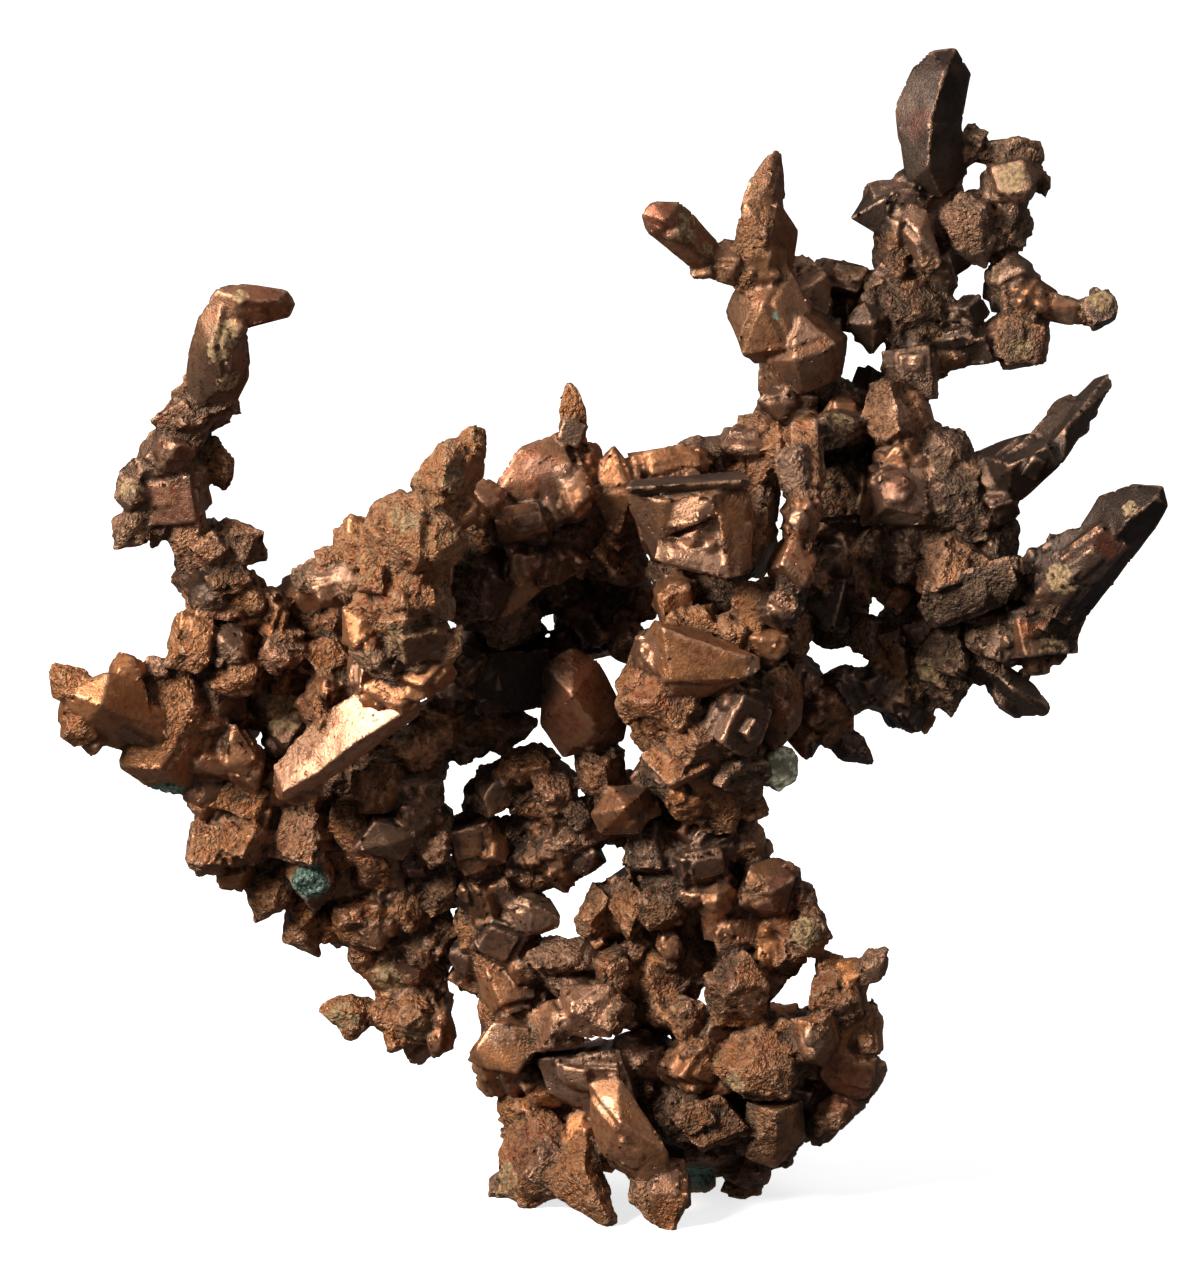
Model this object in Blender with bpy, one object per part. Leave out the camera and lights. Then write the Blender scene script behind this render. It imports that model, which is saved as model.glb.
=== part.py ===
"""Native copper: a branching cluster of metal crystals that grew together, standing on its lowest tips.

Every crystal, nodule and stem is a convex form. The forms of one branch are joined into one solid, and a
branch ends at a fork, a hairline short of the branch that it grew from. The bottom is worn flat on the floor.

Places are read from a front elevation that looks down on the cluster a little: (across, down, back) in
millimetres, across from the elevation's left edge, down from its top edge, back behind its middle plane.
"""

import math
import random

import bmesh
import bpy
from mathutils import Matrix, Vector

# Driving dimensions, in metres.
CLUSTER_HEIGHT = 0.119
WEAR = 0.0004
FORK_GROWTH = 0.00095  # how far a branch's forms grow, each way, to cut the next branch clear of it
FLOOR_SIDE = 0.2
PLUMPNESS = 1.14  # a crystal is this much bigger than its space, so that it grows into its neighbours
TRIANGLES_PER_AREA = 0.34e6

# The elevation, in its own millimetres.
ELEVATION_HEIGHT = 119.0
MIDDLE_ACROSS = 60.8
FLOOR_DOWN = 120.6
LOOK_DOWN = math.radians(15)
MM = CLUSTER_HEIGHT / ELEVATION_HEIGHT

# Where the branches bend out of the middle plane: (across, down, how far round, how far back).
BENDS = (
    (26, 28, 26, -10),
    (6, 70, 16, -6),
    (97, 8, 36, 13),
    (68, 15, 14, -4),
    (114, 47, 18, -11),
    (110, 38, 8, 9),
    (36, 102, 18, 9),
    (89, 96, 10, -5),
)

RIGHT = Vector((1, 0, 0))
UP = Vector((0, math.sin(LOOK_DOWN), math.cos(LOOK_DOWN)))
AWAY = Vector((0, math.cos(LOOK_DOWN), -math.sin(LOOK_DOWN)))

# Unit forms of the cubic system.
CUBE = [(x, y, z) for x in (-1, 1) for y in (-1, 1) for z in (-1, 1)]
AXES = [(1, 0, 0), (-1, 0, 0), (0, 1, 0), (0, -1, 0), (0, 0, 1), (0, 0, -1)]
GRID = [(x, y, z) for x in (-1, 0, 1) for y in (-1, 0, 1) for z in (-1, 0, 1)]
EDGES = [point for point in GRID if point.count(0) == 1]


def place(across, down, back):
    """A place of the elevation, in metres, bent with the branch that it is on."""
    for bend_across, bend_down, reach, depth in BENDS:
        back += depth * math.exp(-((across - bend_across) ** 2 + (down - bend_down) ** 2) / reach**2)
    rise = FLOOR_DOWN - down
    height = (rise - back * math.sin(LOOK_DOWN)) / math.cos(LOOK_DOWN)
    return Vector((across - MIDDLE_ACROSS, back, height)) * MM


def tetrahexahedron(rng):
    """A cube with a low pyramid on four of its faces, copper's commonest crystal."""
    rise = rng.uniform(1.15, 1.4)
    return [Vector(p) * 0.8 for p in CUBE] + [Vector(p) * rise for p in AXES[2:]]


def worn_cube(rng):
    """A cube with one of its corners cut away."""
    points = [Vector(p) for p in CUBE[1:]]
    for axis in range(3):
        point = Vector(CUBE[0])
        point[axis] *= rng.uniform(0.1, 0.4)
        points.append(point)
    return points


def cuboctahedron(rng):
    return [Vector(p) for p in EDGES]


def octahedron(rng):
    return [Vector(p) * 1.2 for p in AXES] + [Vector(p) * 0.62 for p in rng.sample(CUBE, 2)]


def plain_cube(rng):
    return [Vector(p) for p in CUBE]


HABITS = {
    "thx": tetrahexahedron,
    "worn": worn_cube,
    "cuboct": cuboctahedron,
    "oct": octahedron,
    "cube": plain_cube,
}


def form(centre, axes, half, unit_points):
    """One convex form: unit points in a box of the given half sizes, along three axes, about a centre."""
    return {"centre": centre, "axes": axes, "half": half, "points": unit_points}


def block(across, down, back, wide, high, thick=None, lean=0, habit=None):
    """A crystal that fills a box of the elevation, leaning clockwise by lean degrees."""
    rng = random.Random(round(across * 10) + 1000 * round(down * 10))
    habit = habit or rng.choice(("cube", "cube", "worn", "oct", "oct", "thx"))
    turn = Matrix.Rotation(rng.uniform(0, 6.28), 3, Vector([rng.gauss(0, 1) for _ in range(3)]).normalized())
    points = [turn @ p + Vector([rng.uniform(-0.1, 0.1) for _ in range(3)]) for p in HABITS[habit](rng)]
    low = Vector([min(p[i] for p in points) for i in range(3)])
    high_corner = Vector([max(p[i] for p in points) for i in range(3)])
    middle, reach = (low + high_corner) / 2, (high_corner - low) / 2
    points = [Vector([(p[i] - middle[i]) / reach[i] for i in range(3)]) for p in points]
    angle = math.radians(lean)
    side = RIGHT * math.cos(angle) - UP * math.sin(angle)
    top = RIGHT * math.sin(angle) + UP * math.cos(angle)
    thick = thick or 0.5 * (wide + high)
    half = Vector((wide, high, thick)) * MM * PLUMPNESS / 2
    return form(place(across, down, back), (side, top, AWAY), half, points)


def frame_along(start, end):
    """Three axes, the last of them from start to end and the first across the line of sight."""
    along = (end - start).normalized()
    side = along.cross(AWAY)
    side = side.normalized() if side.length > 0.05 else RIGHT
    return side, along.cross(side).normalized(), along


def spear(base, tip, wide, thick=None, sides=4, belt=-0.1, blunt=0.1):
    """A pointed crystal from base to tip, widest at its belt."""
    rng = random.Random(round(base[0] * 10) + 1000 * round(tip[1] * 10))
    start, end = place(*base), place(*tip)
    points = []
    for level, radius, count in ((-1, 0.6, 3), (belt, 1, sides), (1, blunt, 3 if blunt > 0.2 else 1)):
        turn = rng.uniform(0, 6.28)
        for i in range(count):
            angle = turn + 2 * math.pi * (i + rng.uniform(-0.15, 0.15)) / count
            points.append(Vector((radius * math.cos(angle), radius * math.sin(angle), level)))
    thick = thick or wide
    half = Vector((wide * MM * PLUMPNESS / 2, thick * MM * PLUMPNESS / 2, (end - start).length / 2))
    return form((start + end) / 2, frame_along(start, end), half, points)


def limb(*stations, sides=4):
    """A stem: a faceted segment between each two stations (across, down, back, radius)."""
    forms = []
    for (*a, thin), (*b, thick) in zip(stations, stations[1:]):
        rng = random.Random(round(a[0] * 10) + 1000 * round(b[1] * 10))
        start, end = place(*a), place(*b)
        length = (end - start).length
        most = max(thin, thick) * MM * 1.1
        points = []
        for level, radius in ((-1, thin * MM / most), (1, thick * MM / most)):
            turn = rng.uniform(0, 6.28)
            for i in range(sides):
                angle = turn + 2 * math.pi * (i + rng.uniform(-0.2, 0.2)) / sides
                reach = radius * rng.uniform(0.9, 1.08)
                points.append(Vector((reach * math.cos(angle), reach * math.sin(angle), level)))
            points.append(Vector((0, 0, level * (1 + radius * most / length))))
        half = Vector((most, most, length / 2))
        forms.append(form((start + end) / 2, frame_along(start, end), half, points))
    return forms


def gem(*places):
    """A crystal given by its own corners."""
    corners = [place(*p) for p in places]
    centre = sum(corners, Vector()) / len(corners)
    axes = (RIGHT, UP, AWAY)
    reach = [max(abs((c - centre).dot(axis)) for c in corners) for axis in axes]
    points = [Vector([(c - centre).dot(axis) / r for axis, r in zip(axes, reach)]) for c in corners]
    return form(centre, axes, Vector(reach), points)


def growth(*stations, count, size, seed, toward=1):
    """Crystals on the far side of a stem, where the elevation doesn't show them: kept inside its outline."""
    rng = random.Random(seed)
    forms = []
    for _ in range(count):
        i = rng.randrange(len(stations) - 1)
        share = rng.random()
        across, down, back, radius = [p + share * (q - p) for p, q in zip(stations[i], stations[i + 1])]
        big = size * rng.uniform(0.75, 1.25)
        swing = math.radians(rng.uniform(-65, 65))
        slack = max(0, radius - big * 0.35)
        forms.append(
            block(
                across + slack * math.sin(swing),
                down + slack * rng.uniform(-0.7, 0.7),
                back + toward * (radius * math.cos(swing) + 0.15 * big),
                big * rng.uniform(0.8, 1.1),
                big * rng.uniform(0.8, 1.1),
                big * rng.uniform(0.9, 1.5),
            )
        )
    return forms


def spur(*stations, size):
    """A short branch behind the elevation, with a crystal at each of its stations."""
    crystals = [block(across, down, back, size, size, size * 1.3) for across, down, back, _ in stations[1:]]
    return [*limb(*stations), *crystals]


def upper_left_arm():
    """The hooked arm at the upper left."""
    stem = (
        (21.0, 60.5, 1, 2.1),
        (19.4, 54.5, 1, 2.4),
        (17.6, 49.5, 1, 2.6),
        (18.6, 44.0, 1, 1.9),
        (20.8, 40.0, 1.5, 1.8),
        (22.2, 35.5, 2, 2.1),
        (22.5, 31.5, 2, 1.7),
    )
    return [
        *limb(*stem),
        gem(
            (20.6, 31.4, 1),
            (22.0, 29.4, 0.5),
            (24.4, 28.7, 1.5),
            (28.9, 29.2, 2),
            (29.8, 30.5, 2),
            (29.2, 32.0, 1.5),
            (25.2, 33.1, 1),
            (22.6, 33.0, 0),
            (24.6, 30.4, -0.6),
            (28.0, 30.4, 0.4),
            (22.4, 31.0, 4),
            (28.4, 31.0, 4),
        ),
        gem(
            (20.2, 31.8, 1),
            (22.6, 30.8, 0),
            (24.9, 33.6, 1),
            (25.2, 37.8, 1),
            (23.8, 40.6, 0.5),
            (19.8, 41.0, 0),
            (19.0, 38.8, 1),
            (19.4, 34.8, 1),
            (21.6, 35.0, -1.6),
            (22.6, 38.6, -1.4),
            (21.6, 33.6, 4.6),
            (22.8, 39.0, 4.6),
        ),
        block(18.5, 41.6, 1, 5.6, 3.0, lean=-25),
        block(17.3, 45.0, 0, 5.2, 4.4),
        spear((21.0, 44.0, 3), (22.9, 49.3, 3.5), 3.2),
        block(17.6, 49.3, 1, 6.0, 6.0),
        block(13.6, 49.2, 0, 3.4, 4.6, habit="cuboct"),
        spear((14.6, 50.6, 0), (11.7, 55.3, -1), 4.0),
        spear((16.6, 51.5, 0), (15.0, 55.2, 0), 2.2),
        block(14.7, 46.8, 0.5, 3.0, 3.4),
        block(19.2, 49.7, 3.6, 3.0, 3.4),
        block(20.6, 54.6, 1, 4.8, 5.2),
        spear((22.0, 53.0, 1), (27.3, 55.8, 1), 4.6, belt=0.1),
        block(21.4, 59.2, 0.5, 4.0, 4.4),
        spear((24.6, 61.6, 0.5), (25.3, 56.6, 1), 5.4, belt=-0.3),
        block(21.8, 60.0, 1.0, 4.4, 3.2),
        block(22.8, 57.4, 0.5, 4.6, 4.4),
        *growth(*stem, count=7, size=4.4, seed=11),
    ]


def left_arm():
    """The big plates and the bright bar at the left."""
    stem = (
        (35.5, 66.0, 3, 2.4),
        (29.0, 65.5, 2, 2.4),
        (23.0, 66.0, 1, 2.6),
        (21.5, 71.0, 1.5, 3.0),
        (16.0, 72.5, 0, 2.6),
        (11.0, 71.0, -1, 2.6),
    )
    return [
        *limb(*stem),
        block(19.3, 63.9, 0, 4.4, 5.2),
        block(21.8, 63.2, 2.5, 5.6, 4.0),
        block(24.5, 62.0, 1, 5.0, 3.2),
        block(22.8, 64.5, -1, 4.0, 4.0),
        block(27.4, 61.4, 0, 3.4, 4.6),
        block(23.4, 67.4, -1, 4.6, 4.4),
        block(27.9, 64.8, -1, 4.8, 5.0, habit="oct"),
        block(30.3, 59.9, 3, 5.0, 4.4),
        block(31.8, 62.6, 2, 5.2, 4.0),
        block(32.8, 65.6, 0, 6.0, 3.4),
        spear((9.0, 70.4, -1), (5.1, 66.0, -2), 4.4),
        gem(
            (6.6, 69.0, -3),
            (11.2, 67.4, -3.5),
            (14.6, 68.2, -2),
            (15.2, 72.4, -3),
            (12.0, 75.0, -1),
            (7.6, 73.6, -2),
            (10.2, 70.6, -5.5),
            (8.0, 70.0, 2),
            (14.0, 72.0, 3),
            (11.0, 74.5, 2),
        ),
        block(8.2, 71.6, -1, 3.8, 5.4),
        spear((9.6, 72.5, -1), (9.1, 75.7, -1), 3.4),
        block(12.8, 67.3, -0.5, 3.0, 3.4),
        block(15.6, 66.9, 0.5, 2.4, 2.4),
        gem(
            (14.8, 66.6, 0.5),
            (18.6, 66.0, 0.5),
            (21.2, 70.2, 1),
            (21.2, 76.6, 1),
            (18.2, 79.6, 0),
            (15.0, 78.9, 0),
            (11.8, 76.6, -1),
            (19.6, 70.8, -3),
            (16.2, 76.8, -3.5),
            (15.4, 72.0, -2),
            (17.0, 69.0, 3),
            (19.5, 76.0, 4),
            (15.0, 76.0, 3),
        ),
        block(23.4, 71.5, 6, 6.5, 7.5, 7),
        block(27.0, 69.5, 5, 6.0, 6.0),
        spear((24.3, 77.0, -2), (23.2, 72.2, -2.5), 3.9, belt=-0.3),
        spear((24.3, 74.6, -2), (25.6, 80.0, -2), 4.0, belt=-0.2),
        block(29.0, 72.0, 3, 5.2, 7.6, 5, lean=8),
        *limb((19.0, 75.5, 0, 2.2), (24.4, 76.6, -1, 1.6)),
        block(21.5, 77.2, 2, 4.0, 4.0),
        block(20.8, 79.2, 0.5, 4.8, 3.6),
        gem(
            (27.3, 76.6, -5.5),
            (33.2, 70.8, -7),
            (37.4, 68.5, -8),
            (42.1, 68.6, -8),
            (41.8, 71.0, -11.5),
            (38.2, 73.6, -12),
            (34.2, 76.4, -11.5),
            (31.0, 78.7, -10.5),
            (28.0, 80.1, -9),
            (29.0, 77.5, -3),
            (35.0, 74.0, -4),
            (41.0, 70.0, -5),
        ),
        spear((33.0, 74.0, -7), (31.6, 69.0, -8), 2.6),
        block(29.6, 78.0, -5.5, 4.0, 4.6, 5),
        block(32.4, 70.4, -2.5, 4.6, 5.6, 8),
        block(37.2, 67.6, -6, 3.6, 4.6, 8),
        block(36.5, 68.5, -1, 6.0, 5.0, 8),
        *spur((23.0, 70.0, 5, 3.0), (22.0, 70.5, 13, 2.4), (25.0, 68.5, 20, 1.8), size=5.6),
        *growth(*stem, count=9, size=5.6, seed=12),
    ]


def front_left_stack():
    """The boulders and crusty knobs that stand out at the front, left of the middle."""
    stem = (
        (41.0, 68.0, -10, 2.6),
        (40.5, 62.0, -11, 3.2),
        (41.5, 55.0, -12, 3.4),
        (44.5, 49.0, -11, 2.2),
        (47.0, 45.5, -11, 1.6),
    )
    return [
        *limb(*stem),
        block(41.6, 53.6, -12, 8.4, 8.2, 8.5, habit="thx"),
        block(42.0, 48.7, -11, 1.8, 2.4),
        gem(
            (42.9, 45.6, -11),
            (44.3, 44.1, -11),
            (46.2, 43.8, -11),
            (48.8, 46.4, -10.5),
            (46.9, 47.6, -11),
            (46.4, 50.8, -11),
            (42.6, 50.6, -11),
            (41.4, 47.8, -11),
            (44.6, 46.4, -14),
            (44.2, 49.4, -14.4),
            (44.8, 46.6, -8),
            (44.4, 49.6, -7.6),
        ),
        gem(
            (45.8, 43.9, -11),
            (47.5, 42.5, -11),
            (48.7, 43.0, -11),
            (48.9, 46.3, -11),
            (46.8, 46.6, -11),
            (47.6, 44.2, -12.6),
            (47.6, 44.8, -9.4),
        ),
        block(46.4, 51.0, -10, 3.4, 3.6),
        block(39.8, 60.6, -12, 8.6, 6.6, 8),
        block(41.5, 63.6, -12.5, 6.4, 5.0, 7),
        block(37.5, 58.0, -13, 2.8, 2.8),
        block(43.6, 60.8, -12, 3.6, 3.4),
        block(36.4, 62.6, -11, 3.8, 4.2),
        block(38.6, 65.4, -11, 5.6, 4.6),
        block(42.2, 67.4, -11, 5.6, 4.4),
        block(39.4, 69.0, -10, 5.4, 4.0),
        spear((44.4, 66.4, -12), (46.4, 62.2, -13), 2.4),
        *limb((40.5, 57.5, -8, 2.4), (36.0, 57.5, -5, 2.2), (32.0, 58.5, -2, 1.6)),
        block(36.2, 54.4, -6, 3.8, 4.8),
        spear((36.0, 55.0, -6), (35.2, 51.3, -5), 3.0),
        block(38.5, 57.0, -8, 4.0, 4.2),
        block(32.8, 55.9, -2, 2.4, 2.6),
        block(33.8, 58.2, -3, 5.0, 4.6),
        block(36.4, 58.6, -5, 4.6, 4.8),
        spear((31.8, 59.0, -2), (29.0, 56.9, -1), 3.2),
        *growth((41.0, 66.0, -10, 3.6), (41.5, 54.0, -11, 4.0), count=8, size=5.2, seed=13),
    ]


def centre_ridge():
    """The row of crystals across the middle, from the sail at the left to the hopper crystal at the front."""
    stem = (
        (48.0, 61.0, 0, 3.0),
        (53.0, 56.5, 0, 3.4),
        (60.0, 53.0, 0, 3.4),
        (67.0, 50.0, 0, 3.4),
        (74.5, 47.5, 1, 3.0),
    )
    return [
        *limb(*stem),
        gem(
            (49.8, 51.5, -3),
            (49.9, 48.0, -3),
            (51.8, 45.0, -2.5),
            (55.9, 43.2, -2),
            (57.2, 46.5, -5),
            (56.6, 50.4, -5),
            (53.8, 53.4, -4),
            (50.6, 53.6, -3),
            (54.0, 48.0, 3),
            (52.0, 51.0, 3),
            (57.8, 46.2, 1),
        ),
        spear((57.4, 45.0, -2), (57.1, 38.6, -2), 2.8, belt=0.4, blunt=0.4),
        block(57.3, 43.2, -2, 2.8, 3.0),
        block(58.8, 46.8, -1, 3.4, 4.8),
        block(57.6, 49.2, -4, 3.2, 6.0),
        block(52.0, 52.4, -4.5, 5.4, 3.8),
        block(48.0, 57.8, -2, 6.2, 7.4),
        block(50.6, 62.0, 0, 6.4, 4.4),
        block(56.0, 55.6, -2, 6.2, 5.4),
        block(60.4, 55.6, -1, 5.2, 4.6),
        block(52.2, 56.4, -3.6, 2.8, 4.4, 5, lean=12),
        spear((61.6, 53.0, -2), (61.6, 44.5, -3), 5.2, sides=5, belt=0.0),
        block(66.8, 46.6, -2, 7.2, 3.8),
        gem(
            (62.7, 48.8, -15),
            (74.7, 48.2, -15),
            (73.9, 47.2, -9),
            (74.8, 57.2, -13.5),
            (73.0, 57.9, -12),
            (65.4, 56.0, -14),
            (62.9, 51.0, -14),
            (65.0, 50.0, -8),
            (72.5, 55.0, -8),
            (66.0, 55.0, -8),
        ),
        block(68.0, 52.0, -6, 8.4, 7.4, 11),
        *limb((70.0, 51.0, -2, 2.0), (70.0, 58.0, -2, 2.0)),
        block(58.2, 61.6, 7, 5.0, 7.4, 6),
        block(56.0, 58.9, 6, 5.4, 5.0, 6),
        block(60.4, 61.8, 8, 6.0, 7.8, 7),
        block(52.5, 59.2, 5, 5.0, 4.2, 7),
        block(66.8, 60.3, -3, 3.2, 3.8),
        block(63.5, 60.0, 6, 4.0, 5.0),
        block(62.6, 63.6, 3, 3.6, 4.8, 5),
        block(71.6, 59.6, -3, 7.0, 5.0),
        block(67.6, 57.5, -2, 5.0, 3.6, 6),
        block(73.6, 44.8, 0, 5.0, 4.2, lean=-15),
        block(70.2, 45.6, -1, 3.8, 3.6),
        block(75.6, 42.8, 0, 3.6, 3.0),
        *limb((74.5, 47.5, 1, 2.6), (77.5, 46.0, -1, 1.8)),
        block(77.5, 44.9, -1.5, 5.0, 5.0),
        block(75.8, 49.6, 1, 4.4, 6.4),
        block(75.0, 54.0, 0, 5.0, 7.0),
        block(50.6, 66.8, 4, 8.6, 8.6, 7),
        block(47.0, 66.0, 2, 4.6, 5.0),
        block(49.0, 52.6, -1, 5.0, 5.6, 6),
        block(48.4, 50.4, -4, 4.2, 4.6, 5),
        block(56.0, 66.0, 6, 4.4, 4.0, 5),
        block(62.6, 56.6, 3, 4.0, 4.0, 5),
        block(51.0, 63.5, 4, 5.0, 4.0, 7),
        *spur(
            (60.0, 54.0, 3, 3.0),
            (59.0, 55.0, 12, 2.6),
            (56.0, 52.5, 20, 2.0),
            (52.5, 53.5, 26, 1.4),
            size=5.4,
        ),
        *growth(*stem, count=14, size=6.0, seed=14),
    ]


def upper_middle_branch():
    """The upright branch with two fingers at the top."""
    stem = (
        (79.5, 41.0, 1, 2.2),
        (80.0, 35.5, 0, 3.2),
        (77.5, 31.5, -1, 3.4),
        (76.0, 26.0, -1, 2.4),
        (76.5, 19.5, -1, 1.6),
    )
    return [
        *limb(*stem),
        gem(
            (64.0, 21.6, -2),
            (65.2, 20.4, -2),
            (67.8, 20.4, -2),
            (69.6, 21.9, -1.5),
            (71.6, 24.2, -1),
            (72.4, 27.4, -1),
            (69.0, 26.8, -1),
            (66.4, 24.8, -1.5),
            (64.6, 23.4, -2),
            (66.6, 22.2, -4),
            (70.0, 25.0, -3),
            (66.8, 22.4, 0.4),
            (70.6, 25.4, 1.4),
        ),
        block(70.2, 27.2, -1, 2.4, 1.6),
        block(72.9, 26.6, -1, 3.0, 4.0),
        gem(
            (76.0, 16.6, -1),
            (77.3, 15.1, -1),
            (78.1, 15.4, -1),
            (78.5, 19.8, -1),
            (76.8, 21.6, -2.6),
            (73.9, 21.4, -1),
            (74.6, 18.4, -1),
            (76.9, 18.4, -2.8),
            (76.4, 20.6, 2),
            (77.9, 16.4, 1),
        ),
        gem(
            (74.3, 20.4, -2),
            (77.4, 19.4, -2.4),
            (79.7, 23.2, -1.5),
            (79.4, 26.4, -1.5),
            (76.2, 29.2, -3),
            (73.0, 27.2, -2),
            (76.4, 23.8, -4.6),
            (74.8, 22.0, 2.2),
            (78.8, 24.0, 2.2),
            (76.0, 28.2, 2.4),
        ),
        block(75.8, 27.4, -1, 5.6, 4.0),
        block(77.0, 31.4, -1, 7.0, 8.4, 8, habit="cube"),
        block(80.6, 29.6, 0, 4.8, 6.4),
        block(80.6, 35.2, -2.5, 7.2, 7.8, 7, habit="cuboct"),
        spear((82.4, 34.0, -1), (84.1, 31.8, -1), 3.0),
        block(78.6, 40.4, 1, 5.6, 5.2),
        block(83.4, 28.2, 2, 6.6, 3.8, lean=6),
        block(84.8, 30.8, 3, 4.2, 4.4),
        *growth(*stem, count=9, size=5.4, seed=15),
    ]


def upper_right_branch():
    """The tall branch at the upper right, with its tower, loops and hooked tail."""
    stem = (
        (91.5, 37.0, 2, 2.4),
        (91.0, 31.0, 2, 3.0),
        (92.0, 25.5, 2, 2.2),
        (93.0, 19.0, 2, 2.0),
        (93.0, 12.0, 2, 2.2),
    )
    loop = (
        (94.5, 17.0, 2, 1.4),
        (97.2, 14.8, 2, 1.2),
        (101.4, 15.4, 2, 1.3),
        (101.6, 19.0, 2, 1.6),
        (100.2, 23.0, 2, 2.0),
        (96.6, 25.0, 2, 1.8),
        (93.0, 27.0, 2, 1.8),
    )
    tail = (
        (92.0, 36.0, 3, 2.0),
        (98.5, 34.4, 3, 1.6),
        (102.0, 32.5, 3, 2.4),
        (101.0, 28.4, 3, 1.8),
        (105.0, 30.6, 3, 1.7),
        (108.2, 31.2, 3, 1.5),
        (110.2, 31.0, 3, 1.5),
    )
    return [
        *limb(*stem),
        *limb(*loop),
        *limb(*tail),
        block(90.8, 31.2, 1, 8.4, 6.6, 6),
        spear((87.0, 30.4, 0), (87.0, 35.7, 0), 5.0, belt=-0.2),
        block(87.0, 28.8, 1, 4.2, 3.6),
        block(90.5, 25.8, 2, 4.4, 5.0),
        spear((91.5, 20.6, 2), (84.9, 21.9, 1), 5.4, belt=0.1),
        block(89.4, 20.4, 2, 6.4, 3.8),
        gem(
            (89.3, 20.8, -0.5),
            (92.6, 21.0, -1.5),
            (94.2, 26.4, -2),
            (92.8, 27.6, -1.5),
            (90.8, 24.6, 0),
            (91.8, 23.4, -2.8),
            (90.6, 21.4, 3),
            (93.4, 26.4, 3),
        ),
        gem(
            (93.0, 5.0, 2),
            (95.6, 4.8, 2),
            (97.1, 7.4, 2),
            (96.2, 10.0, 1),
            (96.0, 13.2, 1),
            (92.6, 15.4, -1),
            (89.8, 14.2, 1),
            (89.5, 10.8, 2),
            (91.2, 6.8, 2),
            (94.4, 7.4, -0.8),
            (92.8, 12.6, -2.2),
            (94.0, 7.0, 4.5),
            (92.8, 13.0, 5.5),
        ),
        gem(
            (89.8, 12.8, 1),
            (93.0, 12.4, -2.4),
            (96.1, 12.4, 1),
            (96.8, 17.4, 1),
            (94.0, 19.8, 0),
            (90.6, 18.6, 0.5),
            (92.8, 16.6, -2.6),
            (91.0, 14.0, 5),
            (95.4, 17.6, 5),
        ),
        block(97.4, 14.0, 2, 2.6, 3.0),
        block(101.4, 15.2, 2, 5.4, 2.6),
        block(101.4, 18.0, 1.5, 5.4, 4.6, habit="cuboct"),
        spear((103.4, 16.8, 2), (105.1, 19.6, 2), 2.2),
        block(97.0, 22.6, 1.5, 5.6, 6.0),
        spear((97.0, 22.6, 1.5), (98.4, 27.1, 1.5), 4.6),
        block(99.8, 22.8, 3, 4.8, 5.2, lean=30),
        block(94.0, 27.2, 2, 3.4, 4.0),
        block(101.2, 27.6, 3, 4.8, 4.2, lean=30),
        block(102.4, 30.6, 3, 5.2, 5.0),
        block(102.0, 34.0, 3, 4.6, 4.8),
        *limb((91.0, 31.5, 2, 1.6), (97.0, 31.2, 2, 1.3)),
        block(97.0, 31.2, 2, 3.6, 3.2),
        block(96.6, 34.4, 3, 6.0, 3.6),
        spear((100.0, 34.4, 3), (103.6, 36.5, 3), 4.2, belt=-0.1),
        block(93.0, 36.2, 3, 3.4, 4.6),
        block(91.0, 37.4, 2, 5.0, 5.0),
        block(110.0, 31.0, 3, 2.6, 3.8),
        spear((110.2, 31.0, 3), (109.6, 28.6, 3), 1.8),
        *growth(*stem, count=8, size=5.0, seed=16),
        *growth((100.6, 20.0, 2, 1.4), (101.6, 31.0, 3, 2.0), count=3, size=3.6, seed=17),
    ]


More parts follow.
